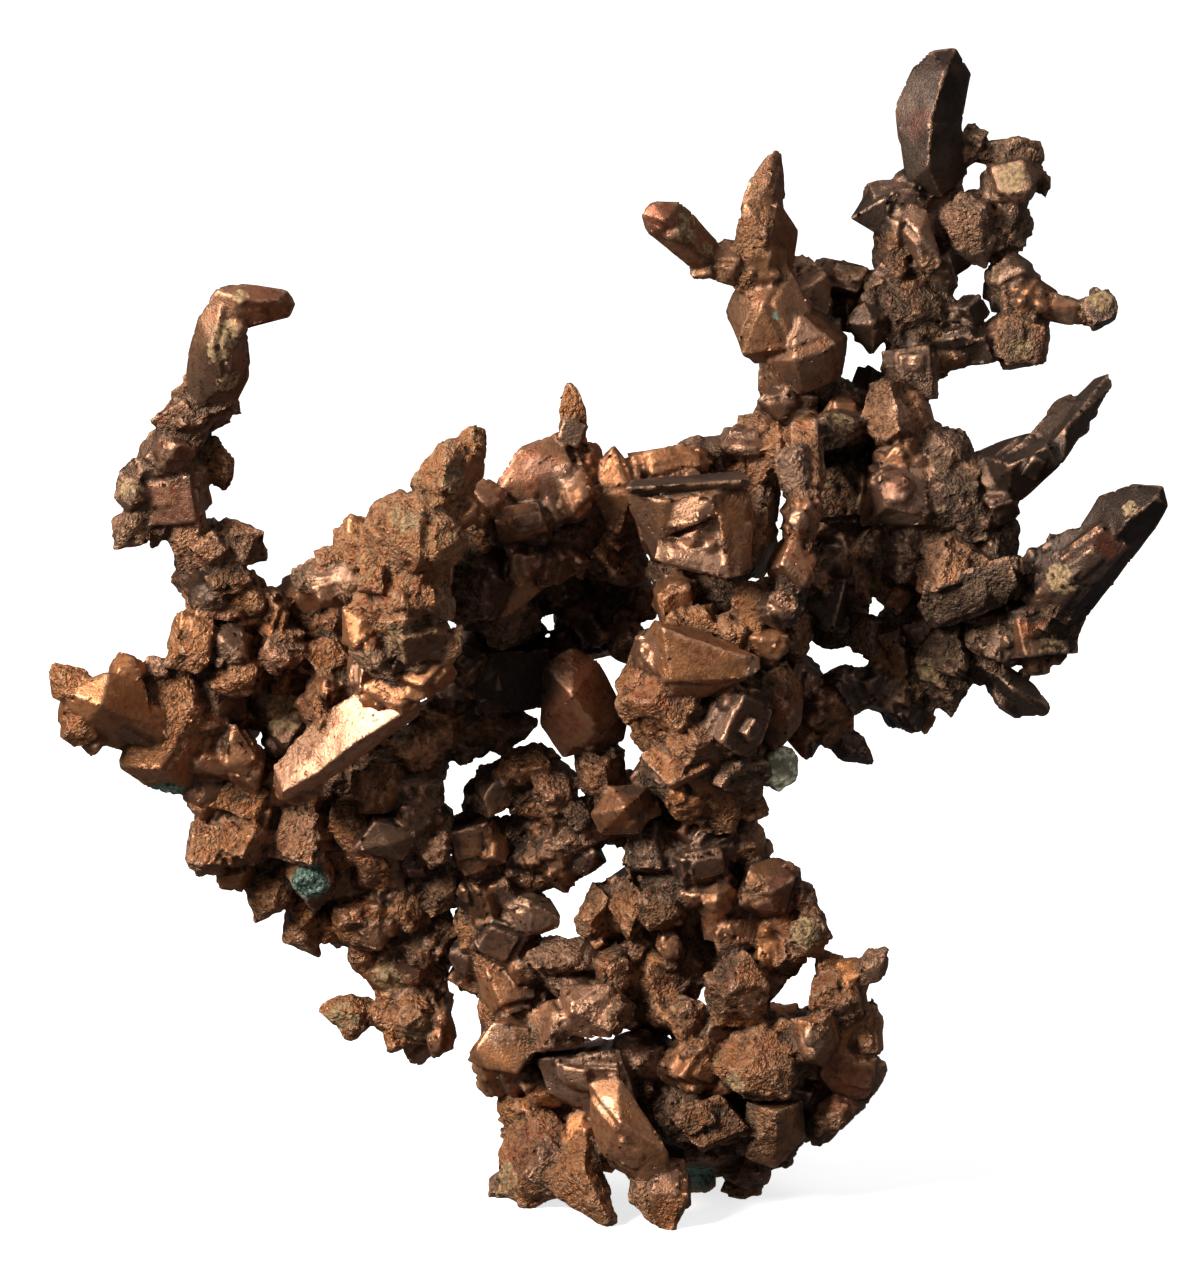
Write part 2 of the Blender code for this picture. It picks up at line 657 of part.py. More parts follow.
def right_mass():
    """The dense mass right of the middle, with a knobbly column standing in front of it."""
    stem = (
        (94.0, 60.0, 3, 3.2),
        (92.5, 53.0, 3, 3.6),
        (91.5, 46.0, 2, 3.6),
        (88.0, 40.5, 2, 3.0),
    )
    column = (
        (80.4, 42.5, -7, 1.8),
        (80.6, 49.0, -10, 1.9),
        (79.6, 55.0, -11, 1.9),
        (78.2, 61.5, -11, 2.0),
    )
    return [
        *limb(*stem),
        *limb(*column),
        *limb((86.5, 42.0, 0, 2.2), (80.6, 44.0, -6, 2.0)),
        block(80.8, 43.6, -3, 4.0, 4.6, 9),
        block(79.4, 46.8, -9, 3.8, 4.8),
        block(80.0, 51.4, -10.5, 4.0, 5.2),
        block(79.0, 56.4, -11, 4.8, 5.4),
        block(77.8, 60.8, -11, 4.6, 4.0),
        block(87.2, 38.8, 2, 4.4, 4.0),
        block(83.2, 39.8, 1, 3.6, 4.0),
        block(84.4, 42.2, 0, 4.6, 6.2),
        block(89.2, 41.4, -2, 4.4, 5.8, lean=-15),
        block(90.8, 41.8, 0, 4.4, 5.4),
        block(94.2, 45.6, 1, 5.2, 5.2, habit="cuboct"),
        block(96.9, 46.9, 1, 3.2, 3.6),
        block(90.2, 45.8, -1, 5.4, 4.2),
        block(90.0, 49.4, -2, 7.0, 5.8),
        block(94.4, 50.4, 0, 6.0, 5.6),
        *limb((86.5, 46.0, 3, 2.0), (84.2, 52.0, 4, 2.0), (90.0, 55.0, 3, 2.0)),
        block(84.0, 47.0, 3, 6.0, 5.2, 7),
        block(83.6, 52.6, 4, 5.4, 5.6, 7),
        block(87.6, 48.6, 3, 5.0, 6.0),
        block(90.4, 55.2, -1, 6.0, 5.8),
        block(99.8, 55.2, 2, 3.6, 5.8),
        block(95.4, 56.8, -1, 8.6, 5.2),
        gem(
            (91.8, 60.6, -4),
            (92.4, 58.2, -5),
            (100.8, 55.6, -4),
            (101.4, 58.2, -4),
            (100.4, 60.6, -3),
            (93.0, 63.0, -3),
            (92.0, 61.0, 3),
            (100.6, 58.0, 3),
            (96.0, 62.0, 3),
        ),
        spear((86.8, 52.0, 1), (88.4, 58.4, 0), 2.8, belt=0.0),
        block(88.4, 51.8, -3, 2.6, 2.6),
        block(92.0, 62.6, 2, 5.6, 3.8),
        block(89.7, 58.4, 1.5, 5.2, 6.4),
        block(89.6, 55.0, 0, 4.4, 4.6),
        block(97.2, 51.6, 1.5, 4.8, 5.6),
        block(101.0, 57.6, 1.5, 3.4, 4.0),
        block(86.0, 44.4, 4, 6.0, 5.0, 7),
        *limb((84.5, 52.5, 4, 2.4), (83.0, 57.0, 3, 2.2), (82.0, 61.5, 2, 2.0)),
        block(82.8, 57.2, 2, 5.0, 6.0),
        spear((83.0, 59.0, 1), (85.6, 57.4, 0), 3.0),
        block(81.4, 58.0, -3, 3.2, 3.4),
        block(83.0, 62.3, 1, 4.9, 4.8, habit="cube"),
        block(82.6, 60.4, -1, 5.0, 5.0),
        block(87.2, 63.4, 0.5, 4.0, 3.4),
        block(85.4, 57.8, 0, 4.0, 6.6),
        block(79.0, 63.4, -3, 4.4, 5.4),
        block(83.6, 49.6, 0, 5.6, 5.4),
        spear((86.0, 55.4, 1), (88.0, 52.6, 0), 3.2),
        *spur(
            (92.0, 50.0, 4, 3.4),
            (91.0, 49.0, 13, 3.0),
            (93.0, 52.0, 21, 2.2),
            (95.5, 50.0, 27, 1.5),
            size=6.4,
        ),
        *spur((87.0, 45.0, 4, 2.6), (85.0, 46.0, 12, 2.2), (82.0, 50.0, 18, 1.6), size=5.4),
        *growth(*stem, count=12, size=6.4, seed=18),
    ]


def upper_right_finger():
    """The slim finger that points up at the right."""
    stem = (
        (97.0, 49.0, 2, 2.6),
        (100.5, 47.4, 2, 2.6),
        (104.0, 44.6, 1, 2.1),
        (107.4, 41.0, 0, 1.9),
    )
    return [
        *limb(*stem),
        gem(
            (109.4, 37.9, -1),
            (111.0, 37.3, -1),
            (111.2, 38.7, -1),
            (109.7, 40.6, 0),
            (107.6, 44.0, 0),
            (106.0, 46.6, 0),
            (103.8, 45.6, 0),
            (105.3, 42.8, 0),
            (107.4, 39.9, 0),
            (106.4, 42.8, -2.6),
            (109.8, 39.2, -2),
            (106.4, 43.4, 2.6),
            (109.8, 39.4, 1.4),
        ),
        gem(
            (96.9, 45.4, 1.5),
            (100.1, 44.1, 1),
            (104.9, 42.7, 0),
            (106.6, 44.6, 0),
            (105.8, 46.7, 0),
            (103.2, 47.5, 0.5),
            (100.4, 51.6, 1.5),
            (97.2, 50.6, 2),
            (101.0, 46.6, -2.2),
            (104.4, 44.8, -2.2),
            (99.4, 48.4, 5),
            (104.2, 45.4, 3),
        ),
        block(100.0, 50.6, 1, 3.4, 3.2),
        *growth(*stem, count=4, size=3.4, seed=20),
    ]


def right_finger():
    """The stout finger at the right, and the short one that points down beside it."""
    stem = (
        (99.5, 62.5, 2, 2.8),
        (104.5, 60.0, 1, 3.2),
        (108.0, 56.4, 0, 3.0),
        (111.5, 53.0, -1, 2.6),
    )
    return [
        *limb(*stem),
        gem(
            (113.0, 48.5, -1),
            (116.0, 48.7, -1),
            (116.5, 50.6, -1),
            (115.3, 52.9, -0.5),
            (112.4, 56.6, 0),
            (109.2, 56.2, -2),
            (107.8, 52.6, 0),
            (109.6, 49.7, 0),
            (112.4, 52.2, -3.6),
            (115.2, 50.0, -2.6),
            (114.4, 50.4, 2),
            (110.4, 54.4, 3),
        ),
        gem(
            (110.6, 52.0, 0),
            (112.6, 56.2, 0),
            (110.2, 59.6, 0),
            (107.8, 62.8, 0),
            (104.0, 60.6, -2),
            (101.6, 56.0, 0),
            (106.2, 53.2, 0),
            (107.2, 57.6, -3.8),
            (109.2, 55.4, -3),
            (105.0, 57.4, 4.4),
            (109.0, 58.0, 4.4),
        ),
        block(105.6, 60.8, 0.5, 5.8, 6.2),
        block(103.6, 63.6, 0.5, 7.4, 4.0),
        block(99.4, 63.6, 1, 5.4, 5.2),
        gem(
            (97.4, 65.6, 1),
            (100.6, 66.4, 0.5),
            (103.4, 68.4, 0),
            (105.1, 70.5, 0),
            (104.7, 71.6, 0),
            (101.6, 71.6, 0.5),
            (98.8, 69.4, 1),
            (101.2, 68.8, -2),
            (100.0, 67.4, 3.4),
            (103.2, 70.2, 2.4),
        ),
        spear((99.6, 67.6, 1), (102.4, 71.9, 1), 3.4),
        block(98.6, 66.4, 1.5, 4.4, 4.4),
        block(103.6, 66.2, 1, 2.6, 2.6),
        *growth(*stem, count=7, size=5.4, seed=21),
    ]


def right_tail():
    """The fringe of small crystals that hangs below the mass at the right."""
    stem = (
        (95.0, 65.0, 2, 2.4),
        (90.0, 67.0, 2, 2.2),
        (85.5, 69.4, 1, 2.2),
        (81.5, 70.8, 0, 1.9),
    )
    return [
        *limb(*stem),
        block(89.2, 64.4, 1, 5.0, 6.0),
        block(79.2, 68.2, 0, 5.4, 5.6),
        block(94.6, 65.0, 0.5, 5.6, 5.2),
        block(96.4, 62.6, 2.5, 4.4, 3.8),
        block(85.0, 69.0, 0, 6.4, 4.0, lean=-10),
        block(88.6, 69.4, 1, 4.2, 4.0),
        block(82.4, 70.8, -1, 5.4, 4.0),
        spear((83.0, 73.0, 0), (87.5, 76.7, 0), 3.4, belt=0.0),
        block(83.4, 73.0, 0, 3.0, 3.4),
        spear((80.4, 71.6, 0), (80.5, 76.2, 0), 3.6),
        spear((82.0, 72.6, 0), (82.0, 74.6, 0), 1.6),
        block(90.6, 68.6, 1, 4.2, 4.0),
        block(90.6, 71.0, 1, 4.8, 4.2),
        spear((91.6, 69.8, 1), (92.8, 73.6, 1), 3.0),
        spear((93.8, 65.0, 1), (95.6, 72.0, 1), 5.4),
        block(92.8, 67.0, -0.5, 2.4, 2.2),
        *growth(*stem, count=6, size=4.4, seed=22),
    ]


def wedge_cluster():
    """The knot of crystals in front of the middle, with a long wedge at its top."""
    stem = (
        (72.5, 82.0, -4, 2.4),
        (71.0, 76.0, -7, 3.6),
        (70.0, 69.5, -8, 3.6),
        (75.0, 62.5, -9, 2.8),
    )
    return [
        *limb(*stem),
        gem(
            (65.5, 61.9, -13),
            (69.0, 62.6, -14),
            (75.8, 65.8, -15),
            (75.4, 67.6, -15),
            (71.0, 68.4, -15),
            (66.8, 68.2, -14),
            (64.4, 63.4, -12),
            (66.0, 63.0, -8),
            (75.0, 67.0, -9),
            (67.0, 69.0, -8),
        ),
        block(66.4, 69.2, -9, 7.8, 7.4, 8),
        block(70.0, 73.6, -10, 8.4, 7.0, 7),
        block(68.0, 76.2, -8, 7.0, 5.2, 7),
        block(73.6, 71.8, -11, 6.4, 6.6, 6),
        block(73.4, 77.0, -8, 6.2, 5.0, 6),
        block(75.6, 74.6, -6, 3.8, 3.8, 4),
        block(70.0, 62.6, -8, 4.0, 4.0, 5),
        gem(
            (78.6, 66.0, -8),
            (80.2, 68.6, -8),
            (80.0, 72.0, -8),
            (77.4, 75.2, -8),
            (75.4, 73.0, -9),
            (75.8, 68.0, -10),
            (78.6, 70.4, -11),
            (77.0, 67.0, -4),
            (78.8, 73.0, -4),
        ),
        spear((76.6, 62.8, -9), (76.9, 66.2, -11), 4.6, sides=5),
        block(75.8, 60.8, -8, 4.6, 5.0, 6),
        block(72.6, 63.0, -9, 4.4, 3.6),
        block(69.2, 79.8, -5, 5.0, 4.8, 7),
        block(65.4, 65.6, -8, 4.4, 5.2, 7),
        block(67.6, 60.6, -6, 3.4, 5.0, 6),
        block(77.0, 69.0, -5, 5.2, 8.0, 5),
        block(66.4, 77.4, -5, 4.4, 4.4, 5),
        spear((73.0, 80.0, -4), (77.2, 81.3, -5), 4.0, belt=-0.1),
        block(65.6, 73.0, -7, 5.0, 5.2, 7),
        *growth((71.0, 79.0, -5, 3.4), (70.5, 67.0, -6, 4.0), count=9, size=5.8, seed=23),
    ]


def mineral_grain():
    """A rounded grain of rock that the copper holds on to."""
    return [
        block(77.9, 76.8, -7, 3.0, 4.0, 3.2, habit="cuboct"),
        block(78.2, 75.8, -6.6, 2.0, 2.2, 2.4),
        block(77.3, 77.6, -6.4, 2.0, 2.0, 2.4),
    ]


def centre_cluster():
    """The shield-shaped crystal in the middle, on its column, with the arch to the left of it."""
    stem = (
        (63.5, 83.0, -2, 2.2),
        (60.5, 79.0, -2, 2.2),
        (58.6, 72.0, -2, 2.6),
    )
    bow = (
        (47.2, 80.0, 0, 1.7),
        (50.6, 77.4, 0, 1.9),
        (54.4, 77.2, 0, 2.2),
        (55.8, 82.0, 0, 2.6),
        (55.4, 86.5, 0, 2.6),
    )
    return [
        *limb(*stem),
        *limb(*bow),
        gem(
            (57.3, 64.6, -4),
            (54.5, 66.4, -4),
            (53.9, 72.4, -4),
            (56.3, 75.8, -4),
            (62.4, 74.1, -4),
            (62.8, 72.0, -4),
            (59.8, 66.0, -4),
            (57.2, 69.6, -7.5),
            (59.4, 72.4, -7),
            (58.0, 70.0, 1),
            (60.0, 73.0, 1),
            (55.8, 73.0, 0),
        ),
        block(60.0, 77.0, -3, 4.4, 5.6, 5),
        gem(
            (59.0, 81.4, -6),
            (61.0, 78.5, -6),
            (65.0, 78.4, -6),
            (65.6, 80.6, -6),
            (63.6, 83.4, -6),
            (60.0, 83.4, -6),
            (62.4, 80.8, -10),
            (61.0, 81.0, -1),
            (64.0, 81.0, -1),
        ),
        *limb((56.0, 82.0, 0, 2.0), (61.0, 82.4, -2, 1.8)),
        block(57.8, 81.4, -2.5, 2.4, 2.8),
        block(49.4, 79.2, -1, 3.8, 4.4, lean=40),
        block(53.0, 76.4, -1, 5.4, 3.8),
        block(55.6, 78.8, -1.5, 4.2, 5.4),
        block(52.8, 79.6, -0.5, 3.4, 4.4),
        block(50.2, 85.0, 0, 3.2, 3.6),
        block(58.8, 85.4, -0.5, 3.4, 4.4),
        block(54.0, 85.0, 0, 5.4, 5.0),
        block(57.4, 83.6, -0.5, 4.4, 4.6),
        spear((55.0, 85.0, 0), (56.6, 89.6, -1), 4.6, belt=-0.1),
        block(64.6, 78.6, -2, 3.6, 4.8, 5),
        block(66.6, 80.6, -1, 3.6, 4.4, 5),
        spear((51.0, 82.0, 0), (48.6, 84.4, 0), 2.8),
        block(53.8, 83.0, 1, 3.6, 4.2),
        block(51.8, 85.6, 0.5, 5.2, 4.0),
        block(52.8, 87.4, 0, 4.6, 3.6),
        *growth(*stem, count=3, size=4.6, seed=24),
        *growth(*bow, count=6, size=4.6, seed=25),
    ]


def lower_left_arm():
    """The long arm that hangs at the lower left, down to the crusted club at its end."""
    stem = (
        (43.0, 73.0, 3, 2.4),
        (41.0, 77.0, 1, 3.0),
        (38.5, 82.0, 0, 3.0),
        (38.0, 88.0, 0, 3.2),
        (41.5, 93.0, 0, 2.6),
        (41.5, 98.0, 0, 2.2),
        (42.0, 103.5, 0, 2.6),
    )
    side = (
        (38.0, 84.0, 0, 3.0),
        (31.0, 84.0, 0, 2.8),
        (25.0, 83.0, 0, 2.8),
        (21.5, 82.0, 0, 2.0),
    )
    return [
        *limb(*stem),
        *limb(*side),
        block(44.6, 72.6, 3, 6.6, 5.6),
        block(46.2, 74.4, 3, 6.0, 3.8),
        block(38.5, 75.5, 3, 7.0, 5.0, 6),
        block(33.5, 78.5, 3, 6.0, 5.0, 6),
        block(30.5, 80.0, 1.5, 4.4, 4.4, 5),
        block(27.2, 78.4, 0.5, 4.6, 5.4, 5),
        block(38.8, 79.5, 1, 6.0, 5.0, 6),
        spear((46.0, 72.6, 3), (53.8, 72.0, 3), 6.0, belt=0.0),
        block(48.4, 69.4, 4, 4.6, 4.6, 6),
        block(45.2, 69.6, 3.5, 4.2, 3.6),
        block(42.0, 75.6, 2, 5.4, 4.4),
        block(20.4, 80.6, 0, 3.4, 3.0),
        block(24.0, 79.8, 0, 5.8, 4.0),
        block(20.6, 84.6, -1, 3.6, 4.4),
        block(24.3, 84.0, -2, 5.2, 5.0, habit="cube"),
        block(23.4, 87.4, -1, 3.6, 3.6),
        block(29.6, 83.4, -1, 5.0, 6.0),
        spear((27.4, 87.4, -1), (25.6, 92.9, -1), 5.2, belt=-0.4),
        spear((31.4, 86.6, -3), (31.6, 91.7, -3), 4.4, sides=5, belt=-0.5),
        block(30.8, 87.0, -2.5, 4.2, 4.2),
        spear((29.0, 91.6, -1), (31.5, 96.3, -1), 3.8, belt=-0.2),
        block(30.2, 90.6, -0.5, 3.8, 3.8),
        block(32.8, 92.2, 0, 4.0, 4.4),
        gem(
            (33.0, 80.2, -3),
            (35.2, 80.0, -4),
            (39.2, 87.0, -4),
            (38.6, 89.2, -3),
            (36.6, 88.8, -3),
            (32.8, 83.2, -3),
            (34.0, 82.0, 2),
            (37.6, 87.6, 2),
            (36.0, 84.0, -5),
        ),
        block(36.6, 91.7, -2, 6.0, 6.0, habit="thx"),
        block(34.6, 87.6, 1.5, 5.4, 4.8),
        block(38.9, 94.4, 0.5, 4.2, 4.0),
        spear((35.4, 93.6, -1), (36.4, 98.2, -1), 2.8),
        block(37.8, 78.8, -4, 4.4, 4.6),
        block(41.8, 80.4, -3, 4.8, 5.0),
        block(43.7, 82.2, -1.5, 3.2, 4.0),
        block(43.6, 84.2, -3, 4.8, 4.4),
        block(38.6, 83.6, -4, 6.2, 4.4),
        block(40.8, 90.4, -1, 3.8, 5.0),
        block(41.2, 86.0, -1, 3.2, 3.6),
        block(44.2, 88.8, 0, 4.4, 5.6),
        block(44.0, 92.8, 0.5, 3.4, 4.0),
        block(42.4, 94.4, -1, 4.8, 4.8),
        block(38.2, 97.4, -0.5, 3.4, 3.6),
        spear((33.4, 90.0, 1), (33.6, 95.6, 0), 4.4, belt=-0.2),
        spear((37.4, 96.0, 0), (35.8, 95.2, 0), 2.8),
        block(41.4, 96.6, -1.5, 4.4, 3.6),
        spear((42.6, 96.8, 0), (44.6, 100.2, 0), 2.8),
        spear((37.6, 101.6, 0), (31.6, 101.4, -1), 3.6, sides=5, belt=0.0, blunt=0.25),
        block(38.2, 101.8, -0.5, 2.8, 2.8),
        block(41.2, 101.6, -1, 5.6, 6.0),
        block(43.8, 103.0, -0.5, 3.2, 6.0),
        block(39.4, 104.4, -1, 2.4, 2.4),
        *spur((38.0, 84.0, 2, 2.8), (36.5, 84.5, 10, 2.4), (38.5, 82.5, 16, 1.8), size=5.4),
        *growth(*stem, count=10, size=5.2, seed=26),
        *growth(*side, count=7, size=5.2, seed=27),
    ]


def lower_column():
    """The column that rises from the foot at the left, and the bars that lie across its base."""
    stem = (
        (50.4, 107.0, -1, 2.6),
        (50.0, 100.0, 0, 2.4),
        (49.5, 94.0, 0, 3.0),
        (48.5, 88.0, 0, 2.6),
        (47.4, 83.0, 0, 2.3),
    )
    return [
        *limb(*stem),
        block(47.4, 84.0, -1, 4.6, 5.6),
        block(48.2, 89.6, -1, 5.2, 6.0),
        block(46.9, 92.4, 0, 3.4, 4.4),
        block(50.2, 93.6, -1, 6.0, 6.0),
        spear((50.6, 90.8, -1), (56.3, 92.3, -2), 4.4, belt=0.0),
        block(46.8, 95.6, 0, 3.4, 4.4),
        spear((46.8, 96.0, 0), (46.0, 99.8, 0), 2.6),
        block(50.6, 98.6, -0.5, 5.2, 6.0),
        block(49.8, 104.6, -1, 3.8, 4.2),
        block(56.6, 95.8, -3, 7.4, 3.6, 4, lean=-4),
        block(53.4, 96.8, -1, 5.0, 4.4),
        block(57.0, 98.4, -1.5, 6.0, 3.0, 5),
        block(61.0, 97.0, -3, 3.4, 5.4),
        block(51.0, 104.8, -5, 8.0, 5.2, 7, lean=-20),
        block(55.6, 102.8, -6, 5.2, 4.8, 6),
        block(58.6, 101.3, -6.5, 4.8, 4.6, 6),
        block(61.6, 101.2, -5.5, 3.8, 4.4, 6),
        block(50.2, 107.3, -3, 5.8, 4.8),
        block(53.2, 107.6, -2, 4.6, 4.2),
        block(53.8, 99.8, 1, 6.0, 4.0, 5),
        block(54.8, 95.8, 1, 5.4, 3.6, 5),
        block(49.4, 101.4, -0.5, 3.2, 4.4),
        *growth(*stem, count=9, size=4.4, seed=28),
    ]


def lower_right_mass():
    """The mass of blocks at the lower right, with a ring of crystals round its opening."""
    stem = (
        (66.0, 102.0, 0, 3.2),
        (66.5, 96.0, 0, 3.4),
        (68.0, 90.0, 0, 3.8),
        (70.0, 84.5, -1, 3.0),
    )
    arc = (
        (70.5, 90.0, -1, 3.4),
        (77.0, 89.5, -1, 2.6),
        (80.4, 93.4, -1, 1.8),
        (78.2, 96.8, -1, 1.8),
        (75.0, 99.0, -1, 2.4),
        (75.0, 104.5, -1, 3.0),
        (82.5, 105.5, -1, 3.0),
        (85.4, 99.6, 0, 1.9),
    )
    return [
        *limb(*stem),
        *limb(*arc),
        *limb((69.5, 86.5, -2, 2.0), (65.0, 85.4, -2, 1.8)),
        *limb((67.0, 90.6, -1, 2.4), (60.0, 91.6, -1, 2.0)),
        block(64.8, 84.6, -3, 4.2, 5.6),
        block(68.2, 83.2, -3, 3.6, 3.6),
        block(70.4, 85.4, -3, 7.0, 5.0, lean=-30),
        block(74.6, 84.0, -2, 3.4, 4.6),
        spear((75.8, 86.0, -1), (77.0, 83.8, -1), 2.2),
        block(77.0, 88.8, -3, 5.4, 5.2, habit="cube"),
        spear((77.6, 88.0, -3), (79.3, 86.0, -3), 2.6),
        block(80.4, 89.8, -2, 2.4, 3.2),
        block(80.8, 93.2, -2, 4.2, 4.0),
        block(78.4, 95.6, -2, 4.0, 4.2),
        block(71.2, 89.6, -4, 5.8, 4.8),
        block(66.4, 90.4, -4, 4.8, 5.6),
        block(62.8, 90.6, -3, 3.2, 6.0),
        block(60.0, 91.2, -1, 4.0, 5.2, 6, habit="cube"),
        block(59.8, 94.0, -0.5, 3.2, 4.0),
        block(73.4, 93.2, -3, 4.2, 4.4),
        block(76.4, 94.2, -1.5, 4.0, 4.8),
        block(69.4, 95.6, 1, 5.0, 6.0, 6),
        block(73.0, 96.0, 1, 4.0, 4.6, 5),
        block(62.4, 88.6, 1, 3.4, 4.0, 5),
        block(67.0, 94.6, -4, 2.4, 3.2),
        block(63.8, 96.8, 0, 5.0, 7.4),
        gem(
            (70.0, 97.4, -6),
            (74.6, 95.0, -6),
            (77.0, 98.6, -6),
            (76.2, 102.6, -5),
            (71.4, 103.0, -5),
            (73.4, 98.6, -8.5),
            (71.6, 98.4, -1),
            (75.8, 98.6, -1),
            (73.4, 102.0, -1),
        ),
        block(66.0, 101.4, -3, 2.6, 2.4),
        block(69.0, 102.0, -3, 5.8, 4.2),
        block(71.4, 104.0, -3, 3.8, 3.8),
        block(69.0, 106.4, -4, 6.0, 4.8),
        block(72.4, 108.4, -3, 4.2, 3.6),
        block(76.0, 106.4, -5, 9.0, 6.2, 6, habit="thx"),
        gem(
            (79.0, 101.8, -5),
            (83.3, 101.4, -5),
            (84.0, 104.2, -4),
            (82.4, 106.8, -4),
            (79.2, 106.4, -5),
            (81.2, 102.4, -7),
            (81.0, 105.6, -7.5),
            (81.4, 104.0, -1),
        ),
        block(83.8, 99.8, -2, 5.0, 6.0),
        block(82.8, 102.6, -2, 5.0, 4.0),
        block(85.2, 97.9, -1, 3.8, 3.6, lean=35),
        spear((85.6, 98.2, -1), (89.0, 95.0, -2), 3.6, belt=0.1),
        spear((84.2, 98.2, 0), (81.5, 94.8, 0), 3.8),
        block(86.6, 103.4, 0, 2.6, 5.0),
        block(87.2, 107.6, 0, 2.8, 4.0),
        block(84.6, 106.4, -1, 5.6, 6.4),
        block(83.2, 110.8, -1, 5.6, 5.4),
        block(79.6, 109.4, -1, 4.4, 3.8),
        spear((83.0, 110.0, -1), (81.8, 114.8, -1), 4.4, sides=5, belt=-0.3, blunt=0.3),
        *spur(
            (68.0, 90.0, 2, 3.2),
            (68.0, 91.0, 10, 2.8),
            (71.0, 88.5, 17, 2.2),
            (72.5, 92.0, 23, 1.5),
            size=5.8,
        ),
        *growth(*stem, count=9, size=6.0, seed=29),
        *growth((76.0, 105.0, 0, 3.6), (84.0, 105.0, 0, 3.6), count=7, size=6.0, seed=30),
        *growth((72.0, 89.5, 0, 3.4), (78.0, 90.5, 0, 3.0), count=4, size=5.4, seed=31),
    ]


def foot_cluster():
    """The mass at the bottom and the tips that the cluster stands on."""
    stem = (
        (54.5, 117.0, 0, 3.0),
        (54.0, 111.0, 0, 2.6),
        (59.0, 107.6, 0, 3.6),
        (65.0, 110.0, 0, 4.0),
        (72.0, 113.0, 2, 4.0),
        (77.0, 113.0, 0, 3.2),
    )
    return [
        *limb(*stem),
        block(59.0, 107.4, -2, 9.6, 6.0, 8),
        block(64.2, 106.0, -1, 5.0, 5.0, 7),
        block(55.0, 109.7, -2, 5.2, 3.0, 6),
        block(53.4, 111.6, -1, 3.2, 3.8),
        block(51.6, 110.2, -1, 3.6, 4.0),
        block(59.4, 114.2, -3, 5.0, 6.0),
        gem(
            (51.4, 111.2, -2),
            (54.0, 110.4, -2),
            (57.8, 114.0, -4),
            (56.8, 119.6, -5),
            (52.6, 121.3, -3),
            (49.8, 119.7, -2),
            (49.8, 115.8, -2),
            (53.6, 114.6, -6),
            (52.0, 119.0, -5.6),
            (52.4, 112.6, 3),
            (55.6, 118.8, 3),
            (51.4, 118.8, 3),
        ),
        block(55.6, 117.0, -3, 6.4, 6.2, 7),
        gem(
            (55.8, 114.8, -6),
            (58.8, 113.6, -6),
            (60.2, 118.4, -7),
            (61.7, 122.3, -9),
            (60.7, 123.4, -9),
            (55.2, 119.6, -6),
            (54.0, 117.0, -6),
            (58.4, 117.0, -9.5),
            (60.6, 121.8, -10.5),
            (57.6, 116.6, -2),
            (60.2, 121.6, -6),
        ),
        spear((51.0, 118.0, 0), (50.0, 121.0, 2), 4.0, blunt=0.5),
        spear((52.6, 118.0, -2), (52.8, 121.9, -3), 3.0, blunt=0.4),
        gem(
            (58.8, 108.4, -8),
            (61.8, 107.6, -8),
            (66.9, 115.2, -10),
            (67.1, 117.6, -9),
            (64.6, 118.6, -9),
            (61.0, 116.8, -8),
            (59.0, 112.2, -7),
            (62.0, 112.4, -11),
            (60.0, 110.8, -2),
            (66.0, 116.4, -3),
        ),
        spear((64.4, 116.6, -7), (65.9, 122.6, -9), 4.6, belt=0.0, blunt=0.3),
        spear((67.0, 116.0, -7), (66.7, 123.3, -9.5), 4.6, belt=0.2, blunt=0.3),
        block(67.6, 119.4, -7.5, 2.8, 4.2, 4),
        block(70.8, 112.4, -3, 7.4, 4.8, 7),
        block(70.0, 115.2, 2, 8.0, 5.0, 8),
        spear((69.6, 116.0, 2), (70.2, 119.6, 5), 4.0, blunt=0.4),
        gem(
            (74.8, 110.4, -4),
            (80.4, 110.2, -4),
            (80.6, 114.0, -4),
            (77.6, 117.2, -4),
            (74.6, 116.0, -4),
            (77.6, 111.4, -8),
            (76.0, 111.0, 2),
            (79.4, 112.0, 2),
            (76.8, 116.0, 1),
        ),
        block(74.6, 116.6, 2, 5.2, 4.4, 6),
        block(74.4, 118.9, 3, 4.0, 3.0, 4),
        spear((72.4, 113.0, 7), (72.0, 118.0, 10), 5.0, sides=5, blunt=0.5),
        spear((57.0, 111.0, 5), (56.0, 117.8, 11), 5.0, sides=5, blunt=0.5),
        *growth(*stem, count=12, size=6.0, seed=32),
    ]


def mesh_of(name, bm):
    mesh = bpy.data.meshes.new(name)
    bm.to_mesh(mesh)
    bm.free()
    return mesh


def corners_of(piece, grow):
    """A form's corners, moved out by grow along each of its axes."""
    side, top, back = piece["axes"]
    half = piece["half"] + Vector((grow, grow, grow))
    return [
        piece["centre"] + side * x * half[0] + top * y * half[1] + back * z * half[2]
        for x, y, z in piece["points"]
    ]


def hull(piece, grow=0.0):
    """The convex mesh of a form."""
    bm = bmesh.new()
    for corner in corners_of(piece, grow):
        bm.verts.new(corner)
    bmesh.ops.convex_hull(bm, input=list(bm.verts))
    bmesh.ops.delete(bm, geom=[v for v in bm.verts if not v.link_faces], context="VERTS")
    bmesh.ops.recalc_face_normals(bm, faces=list(bm.faces))
    return mesh_of("form", bm)


def floor():
    bm = bmesh.new()
    bmesh.ops.create_cube(bm, size=FLOOR_SIDE)
    bmesh.ops.translate(bm, verts=list(bm.verts), vec=(0, 0, -FLOOR_SIDE / 2))
    return mesh_of("floor", bm)


